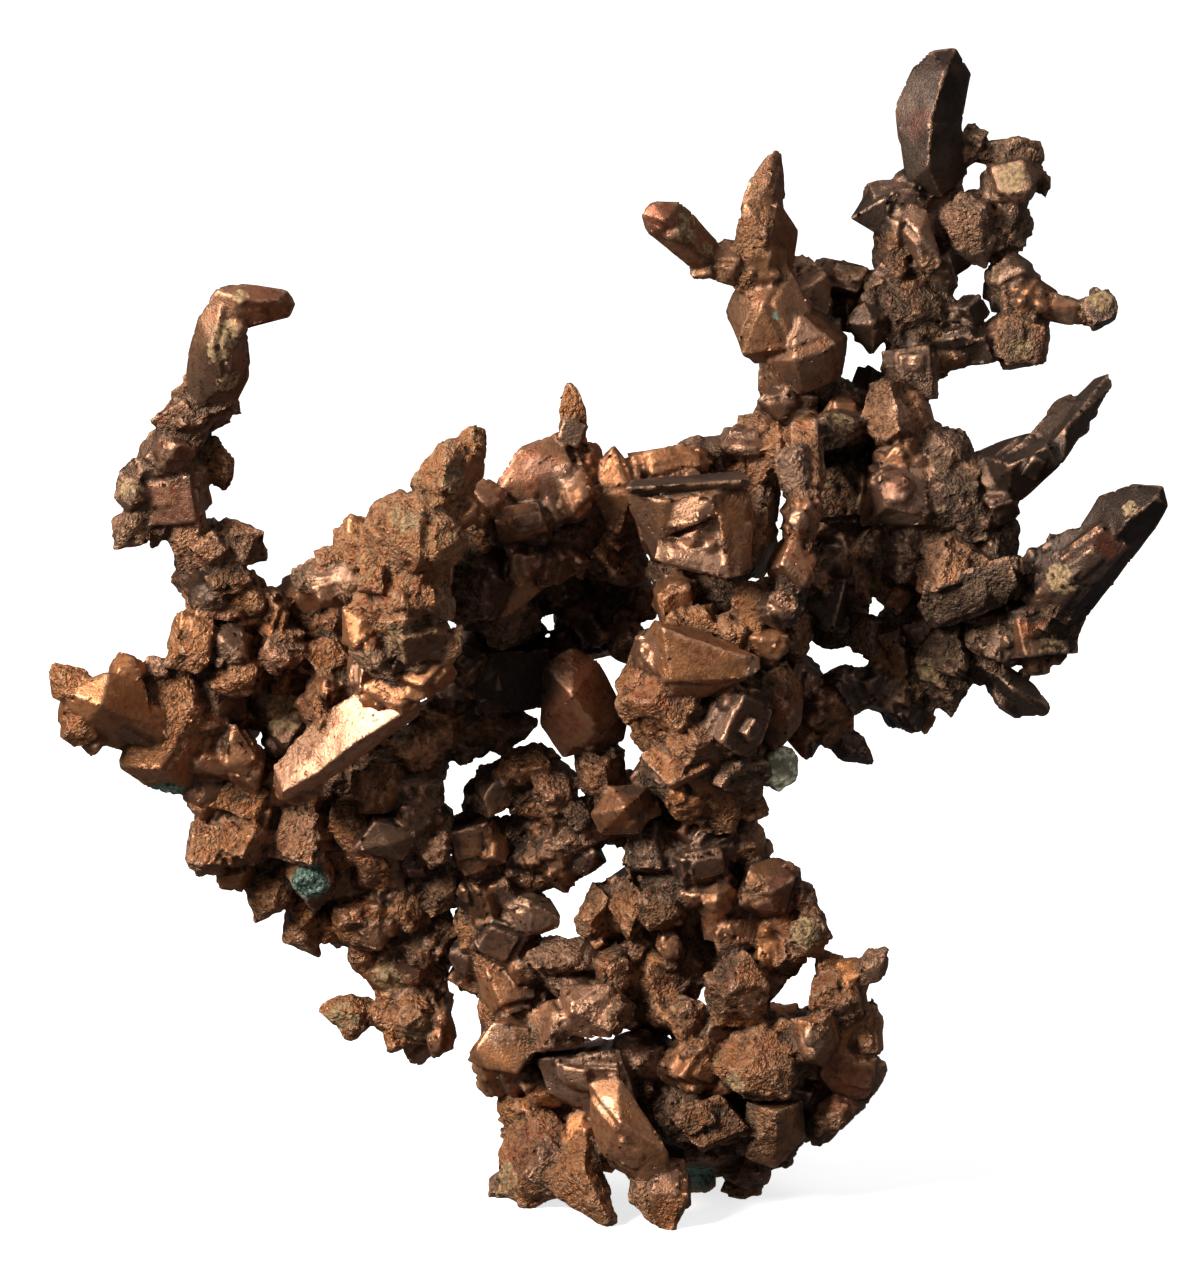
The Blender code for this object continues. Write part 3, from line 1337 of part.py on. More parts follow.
def box_of(forms, grow=0.0):
    """The lowest and the highest corner of the box round some forms."""
    corners = [corner for piece in forms for corner in corners_of(piece, grow)]
    return [min(c[i] for c in corners) for i in range(3)], [max(c[i] for c in corners) for i in range(3)]


def near(piece, box):
    low, high = box_of([piece], FORK_GROWTH)
    return all(low[i] < box[1][i] and high[i] > box[0][i] for i in range(3))


def modified(mesh, kind, **settings):
    """The mesh after one modifier."""
    body = bpy.data.objects.new("body", mesh)
    bpy.context.scene.collection.objects.link(body)
    modifier = body.modifiers.new(kind, kind)
    for setting, value in settings.items():
        setattr(modifier, setting, value)
    bpy.context.view_layer.update()
    made = bpy.data.meshes.new_from_object(body.evaluated_get(bpy.context.evaluated_depsgraph_get()))
    bpy.data.objects.remove(body)
    return made


def boolean(mesh, others, operation):
    """The mesh joined with, or cut by, a list of other meshes."""
    helpers = bpy.data.collections.new("helpers")
    bpy.context.scene.collection.children.link(helpers)
    for other in others:
        helpers.objects.link(bpy.data.objects.new("helper", other))
    made = modified(
        mesh, "BOOLEAN", operation=operation, operand_type="COLLECTION", collection=helpers, solver="EXACT"
    )
    for helper in list(helpers.objects):
        bpy.data.objects.remove(helper)
    bpy.data.collections.remove(helpers)
    return made


def main_body(mesh):
    """The mesh's largest body, without crystals that nothing holds and splinters that a cut leaves."""
    bm = bmesh.new()
    bm.from_mesh(mesh)
    left = set(bm.verts)
    bodies = []
    while left:
        body = {left.pop()}
        edge_of_body = list(body)
        while edge_of_body:
            for edge in edge_of_body.pop().link_edges:
                found = set(edge.verts) - body
                body |= found
                edge_of_body += found
        left -= body
        bodies.append(body)
    bodies.sort(key=len)
    for body in bodies[:-1]:
        bmesh.ops.delete(bm, geom=list(body), context="VERTS")
    return mesh_of(mesh.name, bm)


def worn(mesh):
    """The mesh with its edges a little worn, in few triangles."""
    fine = modified(mesh, "REMESH", mode="VOXEL", voxel_size=WEAR)
    area = sum(face.area for face in fine.polygons)
    return modified(fine, "DECIMATE", ratio=TRIANGLES_PER_AREA * area / (2 * len(fine.polygons)))


def grown_together(forms, neighbours):
    """One solid of all the forms, cut clear of its neighbours' forms."""
    meshes = [hull(piece) for piece in forms]
    mesh = main_body(boolean(meshes[0], meshes[1:], "UNION"))
    box = box_of(forms)
    cutters = [hull(piece, FORK_GROWTH) for piece in neighbours if near(piece, box)]
    if cutters:
        mesh = main_body(boolean(mesh, cutters, "DIFFERENCE"))
    mesh = worn(mesh)
    if box[0][2] < 0:
        mesh = boolean(mesh, [floor()], "DIFFERENCE")
    return mesh


def material(name, colour, roughness, metallic):
    made = bpy.data.materials.new(name)
    made.use_nodes = True
    shader = made.node_tree.nodes["Principled BSDF"]
    shader.inputs["Base Color"].default_value = (*colour, 1)
    shader.inputs["Roughness"].default_value = roughness
    shader.inputs["Metallic"].default_value = metallic
    return made


BRANCHES = (
    right_mass,
    centre_ridge,
    wedge_cluster,
    lower_right_mass,
    foot_cluster,
    lower_column,
    lower_left_arm,
    left_arm,
    front_left_stack,
    upper_left_arm,
    upper_middle_branch,
    upper_right_branch,
    upper_right_finger,
    right_finger,
    right_tail,
    centre_cluster,
    mineral_grain,
)


def main():
    for obj in list(bpy.data.objects):
        bpy.data.objects.remove(obj)
    copper = material("native_copper", (0.42, 0.21, 0.12), 0.42, 1.0)
    rock = material("grey_green_rock", (0.30, 0.33, 0.24), 0.9, 0.0)
    grown = []
    nodes = []
    for branch in BRANCHES:
        forms = branch()
        mesh = grown_together(forms, grown)
        mesh.name = branch.__name__
        mesh.materials.clear()
        mesh.materials.append(rock if branch is mineral_grain else copper)
        nodes.append(bpy.data.objects.new(branch.__name__, mesh))
        grown += forms
    corners = [v.co for node in nodes for v in node.data.vertices]
    middle = [(min(c[i] for c in corners) + max(c[i] for c in corners)) / 2 for i in range(2)]
    for node in nodes:
        node.data.transform(Matrix.Translation((-middle[0], -middle[1], 0)))
        bpy.context.scene.collection.objects.link(node)


main()
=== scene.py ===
"""Native copper: a branching cluster of metal crystals, on a pale light table.

The cluster is followed from its foot upwards, branch by branch. Each branch covers the solid of the same
name: its crystals are joined into one skin, with a crust of small crystals in its hollows, pits, and worn
edges.
"""

import math
import random

import bmesh
import bpy
import numpy as np
from mathutils import Matrix, Vector
from mathutils.bvhtree import BVHTree
from mathutils.kdtree import KDTree


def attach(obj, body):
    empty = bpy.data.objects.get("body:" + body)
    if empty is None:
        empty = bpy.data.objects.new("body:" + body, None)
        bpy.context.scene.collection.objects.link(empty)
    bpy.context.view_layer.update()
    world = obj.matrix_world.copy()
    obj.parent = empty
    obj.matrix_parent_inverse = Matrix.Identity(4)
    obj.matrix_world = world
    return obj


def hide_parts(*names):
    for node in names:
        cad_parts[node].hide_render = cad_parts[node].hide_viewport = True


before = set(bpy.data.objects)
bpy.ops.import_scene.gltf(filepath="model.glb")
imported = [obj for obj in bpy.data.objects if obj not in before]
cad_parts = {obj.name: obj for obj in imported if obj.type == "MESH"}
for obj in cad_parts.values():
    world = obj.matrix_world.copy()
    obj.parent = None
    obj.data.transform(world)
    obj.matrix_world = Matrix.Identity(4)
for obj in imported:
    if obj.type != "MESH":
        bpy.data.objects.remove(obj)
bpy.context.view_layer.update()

# ----------------------------------------------------------------------------------------------------------
# Foot cluster: the lumps and the tips that the whole specimen stands on. Crystals of copper that grew into
# one another, brown, with a tan crust on their tops. It is worn flat where it meets the table.

MM = 0.001
MIDDLE_ACROSS = 60.8
FLOOR_DOWN = 120.6
LOOK_DOWN = math.radians(15)
TO_CENTRE = Vector((-0.0000096, -0.0061199, 0))  # brings the middle of the solids' box to the origin
PLUMPNESS = 1.14  # a crystal is this much bigger than its space, so that it grows into its neighbours
SKIN_VOXEL = 0.000312
ROUGH_VOXEL = 0.0005

# Where the branches bend out of the middle plane: (across, down, how far round, how far back).
BENDS = (
    (26, 28, 26, -10),
    (6, 70, 16, -6),
    (97, 8, 36, 13),
    (68, 15, 14, -4),
    (114, 47, 18, -11),
    (110, 38, 8, 9),
    (36, 102, 18, 9),
    (89, 96, 10, -5),
)
RIGHT = Vector((1, 0, 0))
UP = Vector((0, math.sin(LOOK_DOWN), math.cos(LOOK_DOWN)))
AWAY = Vector((0, math.cos(LOOK_DOWN), -math.sin(LOOK_DOWN)))

# Unit forms of the cubic system.
CUBE = [(x, y, z) for x in (-1, 1) for y in (-1, 1) for z in (-1, 1)]
AXES = [(1, 0, 0), (-1, 0, 0), (0, 1, 0), (0, -1, 0), (0, 0, 1), (0, 0, -1)]
GRID = [(x, y, z) for x in (-1, 0, 1) for y in (-1, 0, 1) for z in (-1, 0, 1)]
EDGES = [p for p in GRID if p.count(0) == 1]


def place(across, down, back):
    """A place of the front elevation, which looks down a little, in metres: its own sizes are millimetres."""
    for bend_across, bend_down, reach, depth in BENDS:
        back += depth * math.exp(-((across - bend_across) ** 2 + (down - bend_down) ** 2) / reach**2)
    rise = FLOOR_DOWN - down
    height = (rise - back * math.sin(LOOK_DOWN)) / math.cos(LOOK_DOWN)
    return Vector((across - MIDDLE_ACROSS, back, height)) * MM + TO_CENTRE


def tetrahexahedron(rng):
    """A cube with a low pyramid on four of its faces, copper's commonest crystal."""
    rise = rng.uniform(1.15, 1.4)
    return [Vector(p) * 0.8 for p in CUBE] + [Vector(p) * rise for p in AXES[2:]]


def worn_cube(rng):
    """A cube with one of its corners cut away."""
    points = [Vector(p) for p in CUBE[1:]]
    for axis in range(3):
        point = Vector(CUBE[0])
        point[axis] *= rng.uniform(0.1, 0.4)
        points.append(point)
    return points


def cuboctahedron(rng):
    return [Vector(p) for p in EDGES]


def octahedron(rng):
    return [Vector(p) * 1.2 for p in AXES] + [Vector(p) * 0.62 for p in rng.sample(CUBE, 2)]


def plain_cube(rng):
    return [Vector(p) for p in CUBE]


HABITS = {
    "thx": tetrahexahedron,
    "worn": worn_cube,
    "cuboct": cuboctahedron,
    "oct": octahedron,
    "cube": plain_cube,
}


def form(centre, axes, half, unit_points, stepped=False):
    """One convex form: unit points in a box of the given half sizes, along three axes, about a centre."""
    return {
        "centre": centre,
        "axes": axes,
        "half": half,
        "points": unit_points,
        "stepped": stepped,
        "look": None,
    }


def any_way(rng):
    """A direction picked at random."""
    return Vector([rng.gauss(0, 1) for _ in range(3)]).normalized()


FULL_TURN = 6.28


def block(across, down, back, wide, high, thick=None, lean=0, habit=None):
    """A crystal that fills a box of the elevation, leaning clockwise by lean degrees."""
    rng = random.Random(round(across * 10) + 1000 * round(down * 10))
    habit = habit or rng.choice(("cube", "cube", "worn", "oct", "oct", "thx"))
    turn = Matrix.Rotation(rng.uniform(0, FULL_TURN), 3, any_way(rng))
    points = [turn @ p + Vector([rng.uniform(-0.1, 0.1) for _ in range(3)]) for p in HABITS[habit](rng)]
    low = Vector([min(p[i] for p in points) for i in range(3)])
    high_corner = Vector([max(p[i] for p in points) for i in range(3)])
    middle, reach = (low + high_corner) / 2, (high_corner - low) / 2
    points = [Vector([(p[i] - middle[i]) / reach[i] for i in range(3)]) for p in points]
    angle = math.radians(lean)
    side = RIGHT * math.cos(angle) - UP * math.sin(angle)
    top = RIGHT * math.sin(angle) + UP * math.cos(angle)
    thick = thick or 0.5 * (wide + high)
    half = Vector((wide, high, thick)) * MM * PLUMPNESS / 2
    return form(place(across, down, back), (side, top, AWAY), half, points, stepped=True)


def blocks(*rows):
    """Crystals, each given as across, down, back, width, height and, where it is known, thickness."""
    return [block(*row) for row in rows]


def frame_along(start, end):
    """Three axes, the last of them from start to end and the first across the line of sight."""
    along = (end - start).normalized()
    side = along.cross(AWAY)
    side = side.normalized() if side.length > 0.05 else RIGHT
    return side, along.cross(side).normalized(), along


def spear(base, tip, wide, thick=None, sides=4, belt=-0.1, blunt=0.1):
    """A pointed crystal from base to tip, widest at its belt."""
    rng = random.Random(round(base[0] * 10) + 1000 * round(tip[1] * 10))
    start, end = place(*base), place(*tip)
    points = []
    for level, radius, count in ((-1, 0.6, 3), (belt, 1, sides), (1, blunt, 3 if blunt > 0.2 else 1)):
        turn = rng.uniform(0, FULL_TURN)
        for i in range(count):
            angle = turn + 2 * math.pi * (i + rng.uniform(-0.15, 0.15)) / count
            points.append(Vector((radius * math.cos(angle), radius * math.sin(angle), level)))
    thick = thick or wide
    half = Vector((wide * MM * PLUMPNESS / 2, thick * MM * PLUMPNESS / 2, (end - start).length / 2))
    return form((start + end) / 2, frame_along(start, end), half, points)


def limb(*stations, sides=4):
    """A stem: a faceted segment between each two stations (across, down, back, radius)."""
    forms = []
    for (*a, thin), (*b, thick) in zip(stations, stations[1:]):
        rng = random.Random(round(a[0] * 10) + 1000 * round(b[1] * 10))
        start, end = place(*a), place(*b)
        length = (end - start).length
        most = max(thin, thick) * MM * 1.1
        points = []
        for level, radius in ((-1, thin * MM / most), (1, thick * MM / most)):
            turn = rng.uniform(0, FULL_TURN)
            for i in range(sides):
                angle = turn + 2 * math.pi * (i + rng.uniform(-0.2, 0.2)) / sides
                reach = radius * rng.uniform(0.9, 1.08)
                points.append(Vector((reach * math.cos(angle), reach * math.sin(angle), level)))
            points.append(Vector((0, 0, level * (1 + radius * most / length))))
        half = Vector((most, most, length / 2))
        forms.append(form((start + end) / 2, frame_along(start, end), half, points))
    return forms


def gem(*places):
    """A crystal given by its own corners."""
    corners = [place(*p) for p in places]
    centre = sum(corners, Vector()) / len(corners)
    axes = (RIGHT, UP, AWAY)
    reach = [max(abs((c - centre).dot(axis)) for c in corners) for axis in axes]
    points = [Vector([(c - centre).dot(axis) / r for axis, r in zip(axes, reach)]) for c in corners]
    return form(centre, axes, Vector(reach), points)


def growth(*stations, count, size, seed, toward=1):
    """Crystals on the far side of a stem, kept inside its outline."""
    rng = random.Random(seed)
    forms = []
    for _ in range(count):
        i = rng.randrange(len(stations) - 1)
        share = rng.random()
        across, down, back, radius = [p + share * (q - p) for p, q in zip(stations[i], stations[i + 1])]
        big = size * rng.uniform(0.75, 1.25)
        swing = math.radians(rng.uniform(-65, 65))
        slack = max(0, radius - big * 0.35)
        forms.append(
            block(
                across + slack * math.sin(swing),
                down + slack * rng.uniform(-0.7, 0.7),
                back + toward * (radius * math.cos(swing) + 0.15 * big),
                big * rng.uniform(0.8, 1.1),
                big * rng.uniform(0.8, 1.1),
                big * rng.uniform(0.9, 1.5),
            )
        )
    return forms


def spur(*stations, size):
    """A short branch at the back, with a crystal at each of its stations."""
    crystals = [block(across, down, back, size, size, size * 1.3) for across, down, back, _ in stations[1:]]
    return [*limb(*stations), *crystals]


STEP_SIZE = (0.34, 0.70)  # a stepped crystal's smaller twins, as shares of it
STEP_TURN = 0.30
STEP_SUNK = 0.72  # how far a twin is sunk into its crystal, as a share of its own size
STEPS = ((0.0026, 5), (0.0016, 3), (0, 2))  # a crystal larger than this has so many twins


def with_steps(forms, seed):
    """The forms, and on the larger of them the smaller crystals that grew nearly parallel to them."""
    rng = random.Random(seed)
    grown = list(forms)
    for parent in forms:
        if not parent["stepped"]:
            continue
        size = sum(parent["half"]) / 3
        for _ in range(next(count for least, count in STEPS if size > least)):
            toward = any_way(rng)
            share = rng.uniform(*STEP_SIZE)
            turn = Matrix.Rotation(rng.gauss(0, STEP_TURN), 3, any_way(rng))
            axes = tuple(turn @ axis for axis in parent["axes"])
            reach = Vector([h * t for h, t in zip(parent["half"], toward)])
            offset = sum((axis * r for axis, r in zip(parent["axes"], reach)), Vector())
            half = parent["half"] * share
            twin = form(parent["centre"] + offset * (1.0 - share * STEP_SUNK), axes, half, parent["points"])
            twin["look"] = parent["look"]
            grown.append(twin)
    return grown


TERRACE_RISE = (0.00018, 0.00042)  # how far a growth terrace stands above its face
TERRACE_SIZE = (0.45, 0.8)
TERRACE_LEAST = 1.6e-6  # a smaller face, in square metres, has no terraces
TERRACED_FACES = 7
BARE_SHARE = 0.35  # of the large faces, this share has no terrace
PLAIN_GRAIN = 0.06  # a crystal with less grain than this has plain faces


def with_terraces(forms, seed):
    """The forms, and low terraces on their larger faces: smaller copies, each raised a little off a face."""
    rng = random.Random(seed + 100)
    grown = list(forms)
    for parent in forms:
        if parent["look"][0] < PLAIN_GRAIN:
            continue
        shape = hull_of(corners_of(parent))
        for face in sorted(shape.faces, key=lambda face: -face.calc_area())[:TERRACED_FACES]:
            if face.calc_area() < TERRACE_LEAST or rng.random() < BARE_SHARE:
                continue
            corner = rng.choice(face.verts).co
            middle = face.calc_center_median().lerp(corner, rng.uniform(0.1, 0.75))
            share = rng.uniform(*TERRACE_SIZE)
            shift = middle * (1 - share) + face.normal * rng.uniform(*TERRACE_RISE)
            centre, half = parent["centre"] * share + shift, parent["half"] * share
            twin = form(centre, parent["axes"], half, parent["points"])
            grain, rub, warmth = parent["look"]
            rub = min(1, rub + 0.2 * rng.random())
            twin["look"] = (grain, rub, min(1, max(0, warmth + rng.uniform(-0.3, 0.3))))
            grown.append(twin)
        shape.free()
    return grown


# How granular a crystal is, how far it is rubbed, and how warm its colour is, each from 0 to 1.
LOOKS = {
    "satin": (0.15, 0.15, 0.5),
    "warm": (0.38, 0.15, 0.85),
    # The dark look darkens and greys a crystal as painted shade, on crystals that lie in shadow.
    "dark": (0.05, 0.0, 0.05),
    "rubbed": (0.3, 0.8, 0.9),
    "granular": (1.0, 0.1, 0.7),
}


def given_looks(forms, crystals, grain, seed):
    """Gives each crystal a look at random, then the look that is named for its place in the elevation."""
    rng = random.Random(seed)
    for piece in forms:
        rub = 0.3 * rng.random() ** 2
        piece["look"] = (min(1, 0.15 + grain * 1.7 * rng.random()), rub, rng.random())
    tree, owners = tree_of(forms)
    for look, across, down in crystals:
        hit = tree.ray_cast(place(across, down, 0) - AWAY * 0.1, AWAY)
        if hit[0] is not None:
            piece = forms[owners[hit[2]]]
            piece["look"] = LOOKS[look]
            piece["stepped"] = piece["stepped"] and look == "granular"


def tree_of(forms):
    """All faces of the crystals as one search tree, and the crystal that each face is of."""
    corners, faces, owners = [], [], []
    for i, piece in enumerate(forms):
        shape = hull_of(corners_of(piece))
        shape.verts.index_update()
        base = len(corners)
        corners += [v.co.copy() for v in shape.verts]
        faces += [[base + v.index for v in face.verts] for face in shape.faces]
        owners += [i] * len(shape.faces)
        shape.free()
    return BVHTree.FromPolygons(corners, faces), owners


# In voxels: a point of the skin this near to a crystal's face, or to its edge, is moved onto it.
FACE_REACH = 0.75
EDGE_REACH = 0.62


def mark_looks(mesh, forms):
    """Draws a skin onto its crystals' faces and edges, and marks each point with the look of its crystal."""
    tree, owners = tree_of(forms)
    looks = np.array([piece["look"] for piece in forms])
    points, owner = points_of(mesh), []
    rims = rims_of(forms)
    for i, point in enumerate(points):
        spot, _, face, away = tree.find_nearest(point)
        owner.append(owners[face])
        if away > SKIN_VOXEL * FACE_REACH:
            continue
        points[i] = spot
        least = EDGE_REACH * SKIN_VOXEL
        for start, along, length in rims[owners[face]]:
            reach = max(0.0, min(length, (spot - start).dot(along)))
            near = start + along * reach
            if (spot - near).length < least:
                least = (spot - near).length
                points[i] = near
    mesh.vertices.foreach_set("co", points.ravel())
    mesh.update()
    for i, name in enumerate(("grain", "rub", "warmth")):
        keep(mesh, name, looks[owner, i])


RIM_ANGLE = math.radians(22)


def rims_of(forms):
    """The sharp edges of each crystal, as start, direction and length."""
    found = []
    for piece in forms:
        shape = hull_of(corners_of(piece))
        rims = []
        for edge in shape.edges:
            if edge.calc_face_angle(0) > RIM_ANGLE:
                line = edge.verts[1].co - edge.verts[0].co
                rims.append((edge.verts[0].co.copy(), line.normalized(), line.length))
        shape.free()
        found.append(rims)
    return found


def hull_of(points):
    """A convex crystal with these corners, as its own little mesh."""
    shape = bmesh.new()
    for point in points:
        shape.verts.new(point)
    bmesh.ops.convex_hull(shape, input=list(shape.verts))
    bmesh.ops.delete(shape, geom=[v for v in shape.verts if not v.link_faces], context="VERTS")
    bmesh.ops.recalc_face_normals(shape, faces=list(shape.faces))
    return shape


def corners_of(piece):
    side, top, back = piece["axes"]
    wide, high, deep = piece["half"]
    middle = piece["centre"]
    return [middle + side * x * wide + top * y * high + back * z * deep for x, y, z in piece["points"]]


def object_from(name, mesh):
    obj = bpy.data.objects.new(name, mesh)
    bpy.context.scene.collection.objects.link(obj)
    return obj


def plain(obj):
    """The object as its modifiers make it, with the modifiers gone."""
    graph = bpy.context.evaluated_depsgraph_get()
    mesh = bpy.data.meshes.new_from_object(obj.evaluated_get(graph))
    obj.modifiers.clear()
    old, obj.data = obj.data, mesh
    bpy.data.meshes.remove(old)
    return obj


def voxelled(obj, size):
    """One closed skin round everything that the object holds."""
    knit = obj.modifiers.new("knit", "REMESH")
    knit.mode = "VOXEL"
    knit.voxel_size = size
    return plain(obj)


def merged_copy(node):
    """The solid of a branch as one joined skin."""
    shape = bmesh.new()
    shape.from_mesh(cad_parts[node].data)
    bmesh.ops.remove_doubles(shape, verts=shape.verts, dist=1e-6)
    return shape


def joined(shapes, name):
    whole = bmesh.new()
    for shape in shapes:
        mesh = bpy.data.meshes.new("part_of_branch")
        shape.to_mesh(mesh)
        whole.from_mesh(mesh)
        bpy.data.meshes.remove(mesh)
        shape.free()
    mesh = bpy.data.meshes.new(name)
    whole.to_mesh(mesh)
    whole.free()
    return mesh


OPEN_REACH = 0.012
OPEN_RAYS = 48


def openness_of_solids():
    """How open each corner of the solids is to the outside: the share of the rays from it that get away."""
    corners, normals, faces = [], [], []
    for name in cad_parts:
        shape = merged_copy(name)
        shape.normal_update()
        base = len(corners)
        shape.verts.index_update()
        corners += [v.co.copy() for v in shape.verts]
        normals += [v.normal.copy() for v in shape.verts]
        faces += [[base + v.index for v in f.verts] for f in shape.faces]
        shape.free()
    tree = BVHTree.FromPolygons(corners, faces)
    rng = random.Random(5)
    rays = [any_way(rng) for _ in range(OPEN_RAYS)]
    near = KDTree(len(corners))
    openness = []
    for i, (corner, normal) in enumerate(zip(corners, normals)):
        start = corner + normal * 0.0006
        free, most = 0.0, 1e-6
        for ray in rays:
            lean = ray.dot(normal)
            if lean > 0.1:
                most += lean
                if tree.ray_cast(start, ray, OPEN_REACH)[0] is None:
                    free += lean
        openness.append(free / most)
        near.insert(corner, i)
    near.balance()
    return tree, near, openness


# The openness darkens the metal where the solids are shut in: painted shade, laid over tarnish.
solids_tree, solids_near, solids_open = openness_of_solids()


def points_of(mesh):
    co = np.empty(len(mesh.vertices) * 3, np.float32)
    mesh.vertices.foreach_get("co", co)
    return co.reshape(-1, 3).astype(np.float64)


def normals_of(mesh):
    normals = np.empty(len(mesh.vertices) * 3, np.float32)
    mesh.vertex_normals.foreach_get("vector", normals)
    return normals.reshape(-1, 3)


def openness_at(points):
    """The solids' openness carried over to other points nearby."""
    openness = np.empty(len(points))
    for i, point in enumerate(points):
        found = solids_near.find_n(point, 3)
        share = [1 / (distance + 1e-4) for _, _, distance in found]
        openness[i] = sum(solids_open[k] * s for (_, k, _), s in zip(found, share)) / sum(share)
    return openness


def bulges(mesh, steps):
    """How far each point stands out of its surroundings, after each of the numbers of smoothing steps."""
    co, normals = points_of(mesh), normals_of(mesh)
    ends = np.empty(len(mesh.edges) * 2, np.int32)
    mesh.edges.foreach_get("vertices", ends)
    ends = ends.reshape(-1, 2)
    counts = np.bincount(ends.ravel(), minlength=len(co)).clip(1)[:, None]
    level, found = co, []
    for step in range(1, max(steps) + 1):
        total = np.zeros_like(level)
        np.add.at(total, ends[:, 0], level[ends[:, 1]])
        np.add.at(total, ends[:, 1], level[ends[:, 0]])
        level = total / counts
        if step in steps:
            found.append(((co - level) * normals).sum(1))
    return found


def keep(mesh, name, values):
    attribute = mesh.attributes.new(name, "FLOAT", "POINT")
    attribute.data.foreach_set("value", np.ascontiguousarray(values, np.float32))


def socket_in(tree, name, kind, value=None):
    made = tree.interface.new_socket(name, in_out="INPUT", socket_type="NodeSocket" + kind)
    if value is not None:
        made.default_value = value


def wired(tree, kind, inputs, **settings):
    """A node of a tree with its settings made, and its inputs linked or set."""
    node = tree.nodes.new(kind)
    for name, value in settings.items():
        setattr(node, name, value)
    for key, value in inputs.items():
        if isinstance(value, bpy.types.NodeSocket):
            tree.links.new(value, node.inputs[key])
        else:
            node.inputs[key].default_value = value
    return node


def calc(tree, operation, *values):
    """A sum or a product. In a material, what is added up is kept between 0 and 1."""
    kept = operation in ("ADD", "SUBTRACT", "MULTIPLY_ADD") and tree.bl_idname == "ShaderNodeTree"
    inputs = dict(enumerate(values))
    return wired(tree, "ShaderNodeMath", inputs, operation=operation, use_clamp=kept).outputs[0]


def scaled(tree, vector, amount):
    return wired(tree, "ShaderNodeVectorMath", {0: vector, "Scale": amount}, operation="SCALE").outputs[0]


def kept_value(tree, name):
    """A value that the points of a mesh carry."""
    return wired(tree, "GeometryNodeInputNamedAttribute", {"Name": name}, data_type="FLOAT").outputs[0]


def with_metal(tree, geometry, metal):
    return wired(tree, "GeometryNodeSetMaterial", {"Geometry": geometry, "Material": metal}).outputs[0]


def rise(tree, value, low, high):
    """0 below low, 1 above high, and a smooth rise between them."""
    inputs = {"Value": value, "From Min": low, "From Max": high}
    return wired(tree, "ShaderNodeMapRange", inputs, interpolation_type="SMOOTHSTEP").outputs[0]


def unit_crystals():
    """The shapes that the crust of small crystals is made of."""
    rng = random.Random(9)
    kept = bpy.data.collections.new("small_crystals")
    for name in sorted(HABITS):
        shape = hull_of(HABITS[name](rng))
        mesh = bpy.data.meshes.new("small_" + name)
        shape.to_mesh(mesh)
        shape.free()
        kept.objects.link(bpy.data.objects.new("small_" + name, mesh))
    return kept


def crust_tree():
    """Small crystals strewn in the hollows of a branch: how near, how big and how far sunk are its inputs."""
    tree = bpy.data.node_groups.new("small_crystal_crust", "GeometryNodeTree")
    for name, kind, value in (
        ("Branch", "Geometry", None),
        ("Crystals", "Collection", None),
        ("Spacing", "Float", 0.0012),
        ("Per Area", "Float", 400000.0),
        ("Smallest", "Float", 0.0005),
        ("Largest", "Float", 0.0013),
        ("Sunk", "Float", 0.45),
        ("Seed", "Int", 1),
        ("Metal", "Material", None),
    ):
        socket_in(tree, name, kind, value)
    tree.interface.new_socket("Crust", in_out="OUTPUT", socket_type="NodeSocketGeometry")
    given = tree.nodes.new("NodeGroupInput").outputs
    strewn = wired(
        tree,
        "GeometryNodeDistributePointsOnFaces",
        {
            "Mesh": given["Branch"],
            "Distance Min": given["Spacing"],
            "Density Max": given["Per Area"],
            "Density Factor": kept_value(tree, "crevice"),
            "Seed": given["Seed"],
        },
        distribute_method="POISSON",
    ).outputs
    size = wired(
        tree,
        "FunctionNodeRandomValue",
        {2: given["Smallest"], 3: given["Largest"], "Seed": given["Seed"]},
        data_type="FLOAT",
    ).outputs[1]
    sized = wired(
        tree,
        "GeometryNodeStoreNamedAttribute",
        {"Geometry": strewn["Points"], "Name": "crystal_size", "Value": size},
        data_type="FLOAT",
    ).outputs[0]
    size = kept_value(tree, "crystal_size")
    depth = calc(tree, "MULTIPLY", calc(tree, "MULTIPLY", size, given["Sunk"]), -1.0)
    inputs = {"Geometry": sized, "Offset": scaled(tree, strewn["Normal"], depth)}
    sunk = wired(tree, "GeometryNodeSetPosition", inputs).outputs[0]
    inputs = {0: (0, 0, 0), 1: (6.283, 6.283, 6.283), "Seed": given["Seed"]}
    turn = wired(tree, "FunctionNodeRandomValue", inputs, data_type="FLOAT_VECTOR").outputs[0]
    inputs = {0: (0.7, 0.7, 0.7), 1: (1.35, 1.35, 1.35), "Seed": 3}
    stretch = wired(tree, "FunctionNodeRandomValue", inputs, data_type="FLOAT_VECTOR").outputs[0]
    scale = scaled(tree, stretch, size)
    shapes = wired(
        tree,
        "GeometryNodeCollectionInfo",
        {"Collection": given["Crystals"], "Separate Children": True, "Reset Children": True},
    ).outputs[0]
    inputs = {"Points": sunk, "Instance": shapes, "Pick Instance": True, "Rotation": turn, "Scale": scale}
    set_in = wired(tree, "GeometryNodeInstanceOnPoints", inputs).outputs[0]
    real = wired(tree, "GeometryNodeRealizeInstances", {"Geometry": set_in}).outputs[0]
    wired(tree, "NodeGroupOutput", {"Crust": with_metal(tree, real, given["Metal"])})
    return tree


